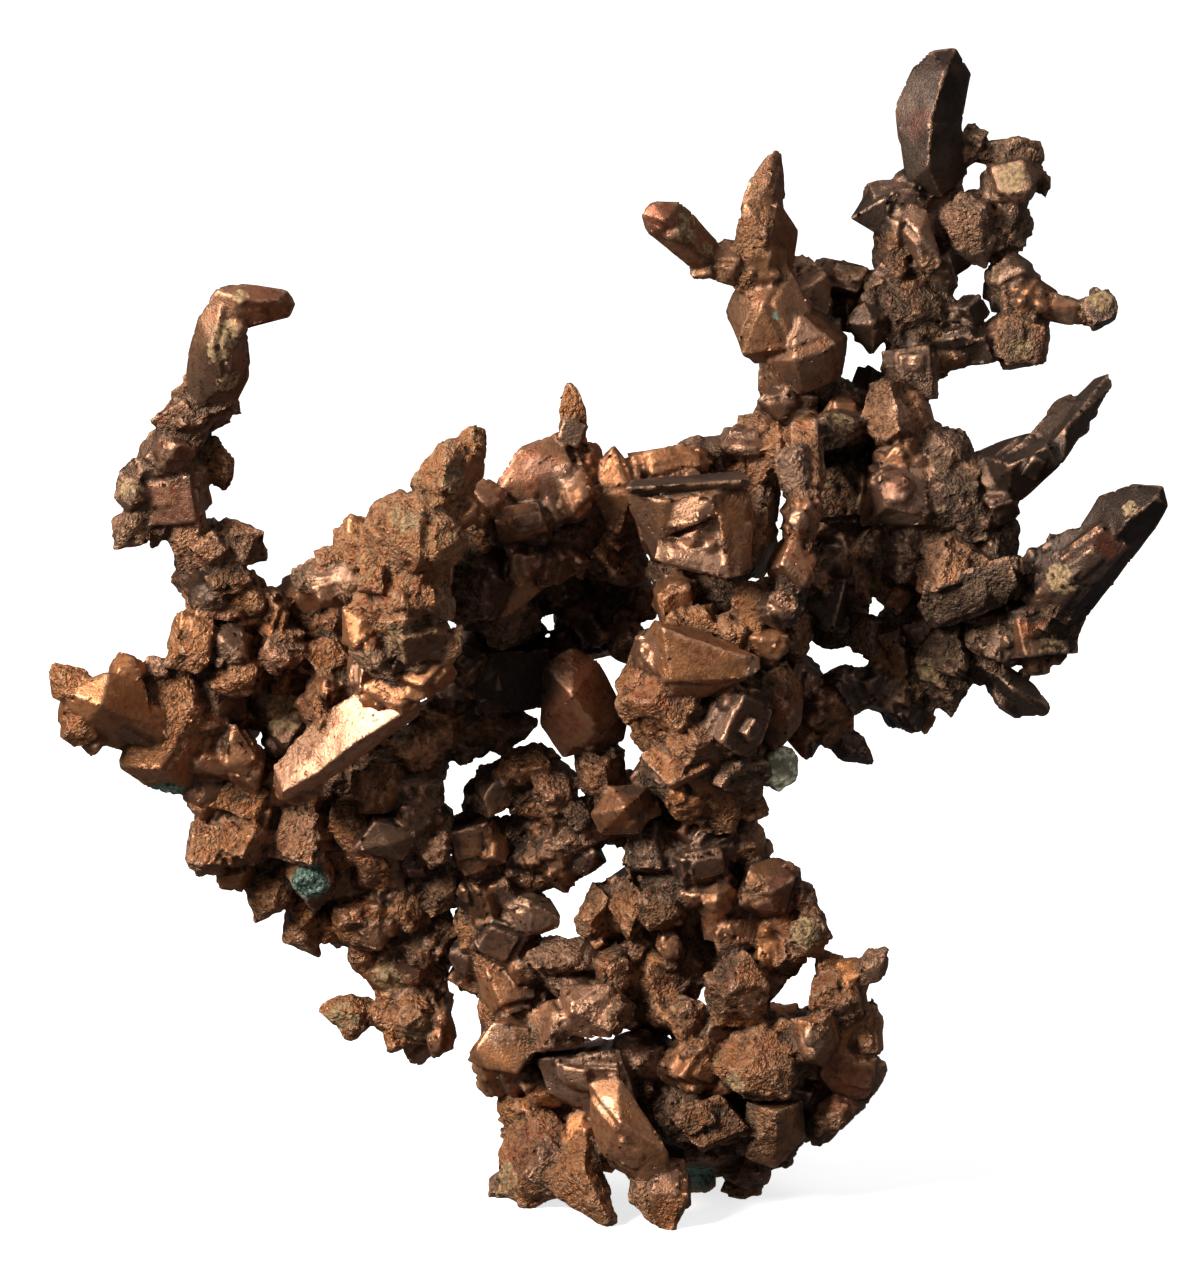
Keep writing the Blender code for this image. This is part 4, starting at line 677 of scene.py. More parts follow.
def skin_tree():
    """The metal's own relief: low lumps, and fields of small pits between smooth faces."""
    tree = bpy.data.node_groups.new("pitted_skin", "GeometryNodeTree")
    for name, kind, value in (
        ("Branch", "Geometry", None),
        ("Warp", "Float", 0.0008),
        ("Lump Height", "Float", 0.00045),
        ("Pit Depth", "Float", 0.00035),
        ("Pit Scale", "Float", 1150.0),
        ("Field Scale", "Float", 120.0),
        ("Field Edge", "Float", 0.46),
        ("Seed", "Float", 0.0),
        ("Metal", "Material", None),
    ):
        socket_in(tree, name, kind, value)
    tree.interface.new_socket("Skin", in_out="OUTPUT", socket_type="NodeSocketGeometry")
    given = tree.nodes.new("NodeGroupInput").outputs

    def noise(scale, detail):
        inputs = {"Scale": scale, "Detail": detail, "W": given["Seed"]}
        return wired(tree, "ShaderNodeTexNoise", inputs, noise_dimensions="4D").outputs[0]

    def drift(scale, detail):
        """A push of up to half a unit in each direction, which turns straight edges and faces uneven."""
        inputs = {"Scale": scale, "Detail": detail, "W": given["Seed"]}
        push = wired(tree, "ShaderNodeTexNoise", inputs, noise_dimensions="4D").outputs["Color"]
        return vectors("SUBTRACT", push, (0.5, 0.5, 0.5))

    def vectors(operation, first, second):
        return wired(tree, "ShaderNodeVectorMath", {0: first, 1: second}, operation=operation).outputs[0]

    def times(*values):
        return calc(tree, "MULTIPLY", *values)

    push = vectors("ADD", drift(260.0, 1.0), scaled(tree, drift(820.0, 2.0), 0.2))
    push = scaled(tree, push, given["Warp"])
    grain = kept_value(tree, "grain")
    field_top = calc(tree, "ADD", given["Field Edge"], 0.12)
    more = calc(tree, "MULTIPLY_ADD", grain, 0.5, -0.25)
    uneven = calc(tree, "ADD", noise(given["Field Scale"], 2.0), more)
    field = rise(tree, uneven, given["Field Edge"], field_top)
    push = scaled(tree, push, calc(tree, "MULTIPLY_ADD", grain, 0.8, 0.3))
    cells = wired(tree, "ShaderNodeTexVoronoi", {"Scale": given["Pit Scale"]}).outputs["Distance"]
    pit = times(rise(tree, cells, 0.42, 0.05), rise(tree, noise(420.0, 1.0), 0.45, 0.6))
    coarse = calc(tree, "SUBTRACT", noise(210.0, 2.0), 0.5)
    cubes = wired(tree, "ShaderNodeTexVoronoi", {"Scale": 560.0}, distance="CHEBYCHEV").outputs["Distance"]
    cubes = calc(tree, "SUBTRACT", 0.38, cubes)
    lump = calc(tree, "MULTIPLY_ADD", coarse, 0.5, times(cubes, times(field, 1.4)))
    lump = times(lump, given["Lump Height"])
    amount = calc(tree, "SUBTRACT", lump, times(times(pit, field), given["Pit Depth"]))
    normal = tree.nodes.new("GeometryNodeInputNormal").outputs[0]
    inputs = {"Geometry": given["Branch"], "Offset": vectors("ADD", scaled(tree, normal, amount), push)}
    moved = wired(tree, "GeometryNodeSetPosition", inputs).outputs[0]
    inputs = {"Geometry": moved, "Name": "rough_field", "Value": field}
    marked = wired(tree, "GeometryNodeStoreNamedAttribute", inputs, data_type="FLOAT", domain="POINT")
    wired(tree, "NodeGroupOutput", {"Skin": with_metal(tree, marked.outputs[0], given["Metal"])})
    return tree


small_crystals = unit_crystals()
crust = crust_tree()
skin = skin_tree()


def run_tree(obj, tree, **values):
    """Runs a node tree over an object and leaves its plain mesh."""
    modifier = obj.modifiers.new(tree.name, "NODES")
    modifier.node_group = tree
    for item in tree.interface.items_tree:
        key = item.name.lower().replace(" ", "_")
        if item.item_type == "SOCKET" and item.in_out == "INPUT" and key in values:
            modifier[item.identifier] = values[key]
    return plain(obj)


def main_body(mesh):
    """Drops everything but the largest body of a skin."""
    ends = np.empty(len(mesh.edges) * 2, np.int32)
    mesh.edges.foreach_get("vertices", ends)
    ends = ends.reshape(-1, 2)
    body = np.arange(len(mesh.vertices))
    while True:
        low = np.minimum(body[ends[:, 0]], body[ends[:, 1]])
        before = body.copy()
        np.minimum.at(body, ends[:, 0], low)
        np.minimum.at(body, ends[:, 1], low)
        body = body[body]
        if (before == body).all():
            break
    largest = np.bincount(body).argmax()
    if (body == largest).all():
        return
    shape = bmesh.new()
    shape.from_mesh(mesh)
    shape.verts.ensure_lookup_table()
    spare = [shape.verts[i] for i in np.nonzero(body != largest)[0]]
    bmesh.ops.delete(shape, geom=spare, context="VERTS")
    shape.to_mesh(mesh)
    shape.free()


# How strongly a fine bulge and a broad one show as a rubbed edge, and a fine and a broad dip as a hollow.
EDGE_GAINS = (1.2, 0.28)
HOLLOW_GAINS = (0.9, 0.45)
SPOT_SPREAD = 1.25  # a patch fades out at this many times its reach
SPOT_STRENGTH = 1.5


def mark_wear(mesh, spots):
    """Marks rubbed edges, hollows that keep tarnish and painted shade, openness, and patches of crust, green,
    red, painted highlight and painted shadow.
    """
    fine, broad = bulges(mesh, (2, 14))
    fine, broad = fine / SKIN_VOXEL, broad / SKIN_VOXEL
    co = points_of(mesh)
    keep(mesh, "edge", np.clip(fine * EDGE_GAINS[0] + broad * EDGE_GAINS[1], 0, 1))
    keep(mesh, "hollow", np.clip(-fine * HOLLOW_GAINS[0] - broad * HOLLOW_GAINS[1], 0, 1))
    keep(mesh, "open", openness_at(co))
    # Patches: crust, green and red are the metal's own; the bright ones are painted highlight, the black ones
    # painted shadow.
    masks = {kind: np.zeros(len(co)) for kind in ("tan", "green", "painted_highlight_and_rub", "ruddy", "black")}
    for kind, across, down, reach in spots:
        hit = solids_tree.ray_cast(place(across, down, 0) - AWAY * 0.1, AWAY)[0]
        if hit is not None:
            away = np.linalg.norm(co - np.array(hit), axis=1) / (SPOT_SPREAD * reach * MM)
            masks[kind] = np.maximum(masks[kind], np.clip(SPOT_STRENGTH * (1 - away), 0, 1))
    for kind, mask in masks.items():
        keep(mesh, kind, mask)


SHUT_BELOW = 0.42  # where less than this share of the rays gets away, the place counts as shut in
OPEN_FACE_SHARE = 0.015  # how often a small crystal sits on an open face


def mark_crevices(mesh):
    """Marks where small crystals sit: in the hollows between the large ones, and seldom on an open face."""
    (bulge,) = bulges(mesh, (4,))
    hollow = np.clip(-bulge / ROUGH_VOXEL * 1.6 - 0.12, 0, 1)
    shut = np.clip((SHUT_BELOW - openness_at(points_of(mesh))) * 2.0, 0, 1)
    keep(mesh, "crevice", np.clip(hollow * 0.9 + shut * 0.35 + OPEN_FACE_SHARE, 0, 1))


def grow(name, forms, metal, seed, grain=0.5, crystals=(), spots=(), hollows=()):
    """Grows one branch over its solid: crystals, crust in its hollows, then relief and wear."""
    given_looks(forms, crystals, grain, seed)
    forms = with_terraces(with_steps(forms, seed), seed)
    hulls = [hull_of(corners_of(piece)) for piece in forms]
    host = object_from(name + "_forms", joined(hulls, name + "_forms"))
    sown = object_from("crust", host.data.copy())
    voxelled(sown, ROUGH_VOXEL)
    mark_crevices(sown.data)
    run_tree(sown, crust, crystals=small_crystals, seed=seed, metal=metal)
    whole = bmesh.new()
    whole.from_mesh(host.data)
    whole.from_mesh(sown.data)
    whole.to_mesh(host.data)
    whole.free()
    crust_mesh = sown.data
    bpy.data.objects.remove(sown)
    bpy.data.meshes.remove(crust_mesh)
    host.name = name + "_copper"
    voxelled(host, SKIN_VOXEL)
    carve(host, hollows)
    mark_looks(host.data, forms)
    run_tree(host, skin, metal=metal, seed=seed * 1.7)
    main_body(host.data)
    on_table(host.data)
    mark_wear(host.data, spots)
    host.data.shade_smooth()
    return host


def carve(host, hollows):
    """Takes the hollow faces of the skeletal crystals out of a branch."""
    for hollow in hollows:
        shape = hull_of(corners_of(hollow))
        mesh = bpy.data.meshes.new("hollow")
        shape.to_mesh(mesh)
        shape.free()
        cutter = object_from("hollow", mesh)
        cut = host.modifiers.new("cut", "BOOLEAN")
        cut.operation = "DIFFERENCE"
        cut.solver = "EXACT"
        cut.object = cutter
        plain(host)
        bpy.data.objects.remove(cutter)
        bpy.data.meshes.remove(mesh)


def on_table(mesh):
    """Nothing reaches under the table's top: what would is worn flat."""
    co = points_of(mesh)
    co[:, 2] = np.maximum(co[:, 2], 0)
    mesh.vertices.foreach_set("co", co.ravel())
    mesh.update()


def tarnished_copper():
    """Brown and red oxides, hollows darkened by tarnish and painted shade, rubbed edges, painted highlights,
    a tan crust and green copper salts.
    """
    tree = bpy.data.node_groups.new("tarnished_copper", "ShaderNodeTree")
    for name, value in (
        ("Rubbed", (0.53, 0.295, 0.185, 1)),
        ("Brown", (0.27, 0.104, 0.038, 1)),
        ("Grey", (0.135, 0.098, 0.075, 1)),
        ("Orange", (0.45, 0.172, 0.056, 1)),
        ("Red", (0.22, 0.05, 0.02, 1)),
        ("Dark", (0.030, 0.017, 0.011, 1)),
        ("Tan", (0.38, 0.245, 0.12, 1)),
        ("Dust", (0.17, 0.105, 0.05, 1)),
        ("Green", (0.22, 0.31, 0.24, 1)),
        ("Dark green", (0.035, 0.06, 0.045, 1)),
    ):
        socket_in(tree, name, "Color", value)
    for name, value in (("Rub", 0.8), ("Tarnish", 0.5), ("Redness", 0.5), ("Shine", 0.3), ("Crust", 0.3)):
        socket_in(tree, name, "Float", value)
    tree.interface.new_socket("Color", in_out="OUTPUT", socket_type="NodeSocketColor")
    for name in ("Roughness", "Metallic", "Height"):
        tree.interface.new_socket(name, in_out="OUTPUT", socket_type="NodeSocketFloat")
    given = tree.nodes.new("NodeGroupInput").outputs
    spot = tree.nodes.new("ShaderNodeTexCoord").outputs["Object"]

    def noise(scale, detail=3.0, rough=0.55):
        inputs = {"Vector": spot, "Scale": scale, "Detail": detail, "Roughness": rough}
        return wired(tree, "ShaderNodeTexNoise", inputs).outputs[0]

    def mix(share, first, second):
        return wired(tree, "ShaderNodeMix", {0: share, 6: first, 7: second}, data_type="RGBA").outputs[2]

    def mark(name):
        return wired(tree, "ShaderNodeAttribute", {}, attribute_name=name).outputs["Fac"]

    def times(*values):
        return calc(tree, "MULTIPLY", *values)

    def plus(*values):
        return calc(tree, "ADD", *values)

    def less(*values):
        return calc(tree, "SUBTRACT", *values)

    def spread(value, gain, base):
        return calc(tree, "MULTIPLY_ADD", value, gain, base)

    def over(value, low, high):
        return rise(tree, value, low, high)

    def patch(name):
        """A patch with a ragged edge."""
        inside = mark(name)
        ragged = spread(inside, 0.45, times(middle, 0.55))
        ragged = plus(ragged, times(flecks, 0.35))
        return times(over(ragged, 0.62, 0.74), over(inside, 0.0, 0.2))

    wide, middle, small = noise(95.0), noise(330.0, 4.0), noise(1300.0, 4.0, 0.65)
    flecks = noise(2100.0, 3.0, 0.6)
    grain = wired(
        tree, "ShaderNodeTexVoronoi", {"Vector": spot, "Scale": 2100.0, "Detail": 1.0}, distance="CHEBYCHEV"
    ).outputs["Distance"]
    cells = wired(tree, "ShaderNodeTexVoronoi", {"Vector": spot, "Scale": 1500.0}).outputs["Distance"]
    edge, hollow, opened, field = mark("edge"), mark("hollow"), mark("open"), mark("rough_field")
    warmth, rubbed = mark("warmth"), mark("rub")
    speckle = spread(small, 0.7, times(middle, 0.5))
    crumbs = spread(flecks, 0.6, times(middle, 0.55))

    pits = times(over(cells, 0.24, 0.06), over(middle, 0.54, 0.68))
    red = plus(times(over(middle, 0.46, 0.64), given["Redness"]), patch("ruddy"))
    colour = mix(red, given["Brown"], given["Red"])
    orange = times(spread(over(small, 0.40, 0.62), 0.7, 0.3), over(warmth, 0.25, 1.0))
    colour = mix(orange, colour, given["Orange"])
    colour = mix(times(over(warmth, 0.5, 0.0), spread(middle, 0.8, 0.2)), colour, given["Grey"])
    # Darkening where few rays get out, in hollows and on the painted-shadow patches: painted shade over the
    # tarnish that recesses keep. Cold crystals darken too, as painted shade on those given the dark look;
    # pits and flecks are the metal's own.
    shut = less(1.0, over(opened, 0.05, 0.8))
    cold = times(less(1.0, warmth), spread(given["Tarnish"], 0.45, 0.1))
    dark = spread(shut, 0.74, times(over(wide, 0.42, 0.66), given["Tarnish"]))
    dark = plus(dark, cold)
    dark = plus(plus(dark, times(hollow, 0.95)), mark("black"))
    dark = times(dark, spread(small, 0.7, 0.6))
    dark = plus(dark, times(over(flecks, 0.5, 0.66), spread(field, 0.35, 0.25)))
    dark = plus(dark, times(pits, 0.4))
    colour = mix(dark, colour, given["Dark"])
    rub = times(over(edge, 0.2, 0.75), spread(over(speckle, 0.52, 0.68), 0.85, 0.15))
    rub = times(times(rub, given["Rub"]), spread(opened, 0.8, 0.2))
    # The highlight patches lay a painted highlight in the pale rubbed colour.
    rub = plus(rub, times(plus(patch("painted_highlight_and_rub"), rubbed), over(small, 0.30, 0.52)))
    colour = mix(rub, colour, given["Rubbed"])
    tan = times(times(field, given["Crust"]), over(small, 0.46, 0.66))
    tan = plus(times(patch("tan"), over(small, 0.38, 0.5)), tan)
    colour = mix(tan, colour, mix(over(flecks, 0.4, 0.62), given["Dust"], given["Tan"]))
    green = patch("green")
    colour = mix(green, colour, mix(over(crumbs, 0.53, 0.66), given["Dark green"], given["Green"]))
    salts = plus(tan, green)

    rough = spread(small, 0.34, 0.35)
    rough = spread(field, 0.08, rough)
    rough = less(rough, times(given["Shine"], 0.2))
    rough = spread(salts, 0.35, rough)
    metal = spread(rub, 0.25, 0.72)
    metal = less(metal, times(salts, 0.6))
    height = times(small, spread(field, 0.38, 0.16))
    height = plus(height, times(noise(4200.0, 3.0, 0.7), spread(field, 0.28, 0.2)))
    height = plus(height, 0.35)
    height = less(height, times(grain, spread(field, 0.8, 0.04)))
    height = less(height, times(pits, 0.6))
    wired(tree, "NodeGroupOutput", {"Color": colour, "Roughness": rough, "Metallic": metal, "Height": height})
    return tree


tarnish_group = tarnished_copper()


RELIEF = 0.00036


def copper(name, **values):
    """One branch's metal: the shared tarnish with its own values."""
    made = bpy.data.materials.new(name)
    made.use_nodes = True
    tree = made.node_tree
    group = tree.nodes.new("ShaderNodeGroup")
    group.node_tree = tarnish_group
    for key, value in values.items():
        group.inputs[key.capitalize()].default_value = value
    height = group.outputs["Height"]
    bump = wired(tree, "ShaderNodeBump", {"Strength": 1.0, "Distance": RELIEF, "Height": height})
    shader = tree.nodes["Principled BSDF"]
    for name_out, name_in in (("Color", "Base Color"), ("Roughness", "Roughness"), ("Metallic", "Metallic")):
        tree.links.new(group.outputs[name_out], shader.inputs[name_in])
    tree.links.new(bump.outputs["Normal"], shader.inputs["Normal"])
    return made


def finish(piece, node):
    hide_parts(node)
    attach(piece, "root")


stem = (
    (54.5, 117, 0, 3), (54, 111, 0, 2.6), (59, 107.6, 0, 3.6), (65, 110, 0, 4), (72, 113, 2, 4),
    (77, 113, 0, 3.2),
)
foot_cluster_forms = [
    *limb(*stem),
    *blocks(
        (59, 107.4, -2, 9.6, 6, 8), (64.2, 106, -1, 5, 5, 7), (55, 109.7, -2, 5.2, 3, 6),
        (53.4, 111.6, -1, 3.2, 3.8), (51.6, 110.2, -1, 3.6, 4), (59.4, 114.2, -3, 5, 6),
    ),
    gem(
        (51.4, 111.2, -2), (54, 110.4, -2), (57.8, 114, -4), (56.8, 119.6, -5), (52.6, 121.3, -3),
        (49.8, 119.7, -2), (49.8, 115.8, -2), (53.6, 114.6, -6), (52, 119, -5.6), (52.4, 112.6, 3),
        (55.6, 118.8, 3), (51.4, 118.8, 3),
    ),
    block(55.6, 117, -3, 6.4, 6.2, 7),
    gem(
        (55.8, 114.8, -6), (58.8, 113.6, -6), (60.2, 118.4, -7), (61.7, 122.3, -9), (60.7, 123.4, -9),
        (55.2, 119.6, -6), (54, 117, -6), (58.4, 117, -9.5), (60.6, 121.8, -10.5), (57.6, 116.6, -2),
        (60.2, 121.6, -6),
    ),
    spear((51, 118, 0), (50, 121, 2), 4, blunt=0.5),
    spear((52.6, 118, -2), (52.8, 121.9, -3), 3, blunt=0.4),
    gem(
        (58.8, 108.4, -8), (61.8, 107.6, -8), (66.9, 115.2, -10), (67.1, 117.6, -9), (64.6, 118.6, -9),
        (61, 116.8, -8), (59, 112.2, -7), (62, 112.4, -11), (60, 110.8, -2), (66, 116.4, -3),
    ),
    spear((64.4, 116.6, -7), (65.9, 122.6, -9), 4.6, belt=0, blunt=0.3),
    spear((67, 116, -7), (66.7, 123.3, -9.5), 4.6, belt=0.2, blunt=0.3),
    *blocks((67.6, 119.4, -7.5, 2.8, 4.2, 4), (70.8, 112.4, -3, 7.4, 4.8, 7), (70, 115.2, 2, 8, 5, 8)),
    spear((69.6, 116, 2), (70.2, 119.6, 5), 4, blunt=0.4),
    gem(
        (74.8, 110.4, -4), (80.4, 110.2, -4), (80.6, 114, -4), (77.6, 117.2, -4), (74.6, 116, -4),
        (77.6, 111.4, -8), (76, 111, 2), (79.4, 112, 2), (76.8, 116, 1),
    ),
    *blocks((74.6, 116.6, 2, 5.2, 4.4, 6), (74.4, 118.9, 3, 4, 3, 4)),
    spear((72.4, 113, 7), (72, 118, 10), 5, sides=5, blunt=0.5),
    spear((57, 111, 5), (56, 117.8, 11), 5, sides=5, blunt=0.5),
    *growth(*stem, count=12, size=6, seed=32),
]
foot_cluster_metal = copper("foot_cluster_metal")
foot_cluster = grow(
    "foot_cluster", foot_cluster_forms, foot_cluster_metal, seed=31, grain=0.6,
    crystals=[
        ("warm", 62.5, 112), ("granular", 53.6, 116), ("granular", 58.6, 118), ("warm", 77.6, 113),
    ],
    # The bright patch is a painted highlight on rubbed copper.
    spots=[
        ("green", 70, 117.6, 2.2), ("tan", 50.6, 118.6, 2.2), ("painted_highlight_and_rub", 60.6, 110.6, 1.1),
        ("ruddy", 53, 115, 4), ("ruddy", 66, 112.6, 3),
    ],
)
finish(foot_cluster, "foot_cluster")

# ----------------------------------------------------------------------------------------------------------
# Lower column: the stem that rises from the foot at the left, with knobby crystals in a row across its base.
# Dark brown copper, rubbed pink along the row, where a painted highlight lies on the rubbed copper.

stem = (
    (50.4, 107, -1, 2.6), (50, 100, 0, 2.4), (49.5, 94, 0, 3), (48.5, 88, 0, 2.6), (47.4, 83, 0, 2.3),
)
lower_column_forms = [
    *limb(*stem),
    *blocks(
        (47.4, 84, -1, 4.6, 5.6), (48.2, 89.6, -1, 5.2, 6), (46.9, 92.4, 0, 3.4, 4.4),
        (50.2, 93.6, -1, 6, 6),
    ),
    spear((50.6, 90.8, -1), (56.3, 92.3, -2), 4.4, belt=0),
    block(46.8, 95.6, 0, 3.4, 4.4),
    spear((46.8, 96, 0), (46, 99.8, 0), 2.6),
    *blocks((50.6, 98.6, -0.5, 5.2, 6), (49.8, 104.6, -1, 3.8, 4.2)),
    block(56.6, 95.8, -3, 7.4, 3.6, 4, lean=-4),
    *blocks((53.4, 96.8, -1, 5, 4.4), (57, 98.4, -1.5, 6, 3, 5), (61, 97, -3, 3.4, 5.4)),
    block(51, 104.8, -5, 8, 5.2, 7, lean=-20),
    *blocks(
        (55.6, 102.8, -6, 5.2, 4.8, 6), (58.6, 101.3, -6.5, 4.8, 4.6, 6), (61.6, 101.2, -5.5, 3.8, 4.4, 6),
        (50.2, 107.3, -3, 5.8, 4.8), (53.2, 107.6, -2, 4.6, 4.2), (53.8, 99.8, 1, 6, 4, 5),
        (54.8, 95.8, 1, 5.4, 3.6, 5), (49.4, 101.4, -0.5, 3.2, 4.4),
    ),
    *growth(*stem, count=9, size=4.4, seed=28),
]
lower_column_metal = copper("lower_column_metal", tarnish=0.6)
lower_column = grow(
    "lower_column", lower_column_forms, lower_column_metal, seed=32, grain=0.6,
    crystals=[("rubbed", 58.4, 101), ("warm", 55.6, 103.2), ("warm", 51.2, 104.8)],
    spots=[("painted_highlight_and_rub", 57, 101, 3), ("painted_highlight_and_rub", 50, 103.4, 1.8)],
)
finish(lower_column, "lower_column")

# ----------------------------------------------------------------------------------------------------------
# Lower right mass: a heap of blocks at the lower right, with a ring of crystals round its opening. Warm brown
# copper, with a pale crust on the lowest blocks.

stem = (
    (66, 102, 0, 3.2), (66.5, 96, 0, 3.4), (68, 90, 0, 3.8), (70, 84.5, -1, 3),
)
arc = (
    (70.5, 90, -1, 3.4), (77, 89.5, -1, 2.6), (80.4, 93.4, -1, 1.8), (78.2, 96.8, -1, 1.8),
    (75, 99, -1, 2.4), (75, 104.5, -1, 3), (82.5, 105.5, -1, 3), (85.4, 99.6, 0, 1.9),
)
lower_right_mass_forms = [
    *limb(*stem),
    *limb(*arc),
    *limb((69.5, 86.5, -2, 2), (65, 85.4, -2, 1.8)),
    *limb((67, 90.6, -1, 2.4), (60, 91.6, -1, 2)),
    *blocks((64.8, 84.6, -3, 4.2, 5.6), (68.2, 83.2, -3, 3.6, 3.6)),
    block(70.4, 85.4, -3, 7, 5, lean=-30),
    block(74.6, 84, -2, 3.4, 4.6),
    spear((75.8, 86, -1), (77, 83.8, -1), 2.2),
    block(77, 88.8, -3, 5.6, 5.4, habit="thx"),
    spear((77.6, 88, -3), (79.3, 86, -3), 2.6),
    *blocks(
        (80.4, 89.8, -2, 2.4, 3.2), (80.8, 93.2, -2, 4.2, 4), (78.4, 95.6, -2, 4, 4.2),
        (71.2, 89.6, -4, 5.8, 4.8), (66.4, 90.4, -4, 4.8, 5.6), (62.8, 90.6, -3, 3.2, 6),
    ),
    block(60, 91.2, -1, 4, 5.2, 6, habit="cube"),
    *blocks(
        (59.8, 94, -0.5, 3.2, 4), (73.4, 93.2, -3, 4.2, 4.4), (76.4, 94.2, -1.5, 4, 4.8),
        (69.4, 95.6, 1, 5, 6, 6), (73, 96, 1, 4, 4.6, 5), (62.4, 88.6, 1, 3.4, 4, 5),
        (67, 94.6, -4, 2.4, 3.2), (63.8, 96.8, 0, 5, 7.4),
    ),
    gem(
        (70, 97.4, -6), (74.6, 95, -6), (77, 98.6, -6), (76.2, 102.6, -5), (71.4, 103, -5),
        (73.4, 98.6, -8.5), (71.6, 98.4, -1), (75.8, 98.6, -1), (73.4, 102, -1),
    ),
    *blocks(
        (66, 101.4, -3, 2.6, 2.4), (69, 102, -3, 5.8, 4.2), (71.4, 104, -3, 3.8, 3.8),
        (69, 106.4, -4, 6, 4.8), (72.4, 108.4, -3, 4.2, 3.6),
    ),
    block(76, 106.4, -5, 9, 6.2, 6, habit="thx"),
    gem(
        (79, 101.8, -5), (83.3, 101.4, -5), (84, 104.2, -4), (82.4, 106.8, -4), (79.2, 106.4, -5),
        (81.2, 102.4, -7), (81, 105.6, -7.5), (81.4, 104, -1),
    ),
    *blocks((83.8, 99.8, -2, 5, 6), (82.8, 102.6, -2, 5, 4)),
    block(85.2, 97.9, -1, 3.8, 3.6, lean=35),
    spear((85.6, 98.2, -1), (89, 95, -2), 3.6, belt=0.1),
    spear((84.2, 98.2, 0), (81.5, 94.8, 0), 3.8),
    *blocks(
        (86.6, 103.4, 0, 2.6, 5), (87.2, 107.6, 0, 2.8, 4), (84.6, 106.4, -1, 5.6, 6.4),
        (83.2, 110.8, -1, 5.6, 5.4), (79.6, 109.4, -1, 4.4, 3.8),
    ),
    spear((83, 110, -1), (81.8, 114.8, -1), 4.4, sides=5, belt=-0.3, blunt=0.3),
    *spur(
        (68, 90, 2, 3.2), (68, 91, 10, 2.8), (71, 88.5, 17, 2.2), (72.5, 92, 23, 1.5),
        size=5.8,
    ),
    *growth(*stem, count=9, size=6, seed=29),
    *growth((76, 105, 0, 3.6), (84, 105, 0, 3.6), count=7, size=6, seed=30),
    *growth((72, 89.5, 0, 3.4), (78, 90.5, 0, 3), count=4, size=5.4, seed=31),
]
lower_right_mass_metal = copper("lower_right_mass_metal")
lower_right_mass = grow(
    "lower_right_mass", lower_right_mass_forms, lower_right_mass_metal, seed=33, grain=0.5,
    crystals=[
        ("granular", 73.6, 99.4), ("granular", 75, 106.4), ("warm", 81.4, 104), ("granular", 60.4, 91.2),
        ("satin", 84, 109),
    ],
    spots=[
        ("tan", 73.4, 108.4, 1.4), ("painted_highlight_and_rub", 81.2, 104.3, 1.8), ("tan", 80.6, 93.6, 2),
        ("ruddy", 84, 108, 4), ("ruddy", 78.6, 90, 3), ("ruddy", 68, 88, 4), ("painted_highlight_and_rub", 75, 100, 1.4),
    ],
)
finish(lower_right_mass, "lower_right_mass")

# ----------------------------------------------------------------------------------------------------------
# Lower left arm: it hangs down to a crusted club. Its crystals are small, warm brown, and one of them is
# green with copper salts.

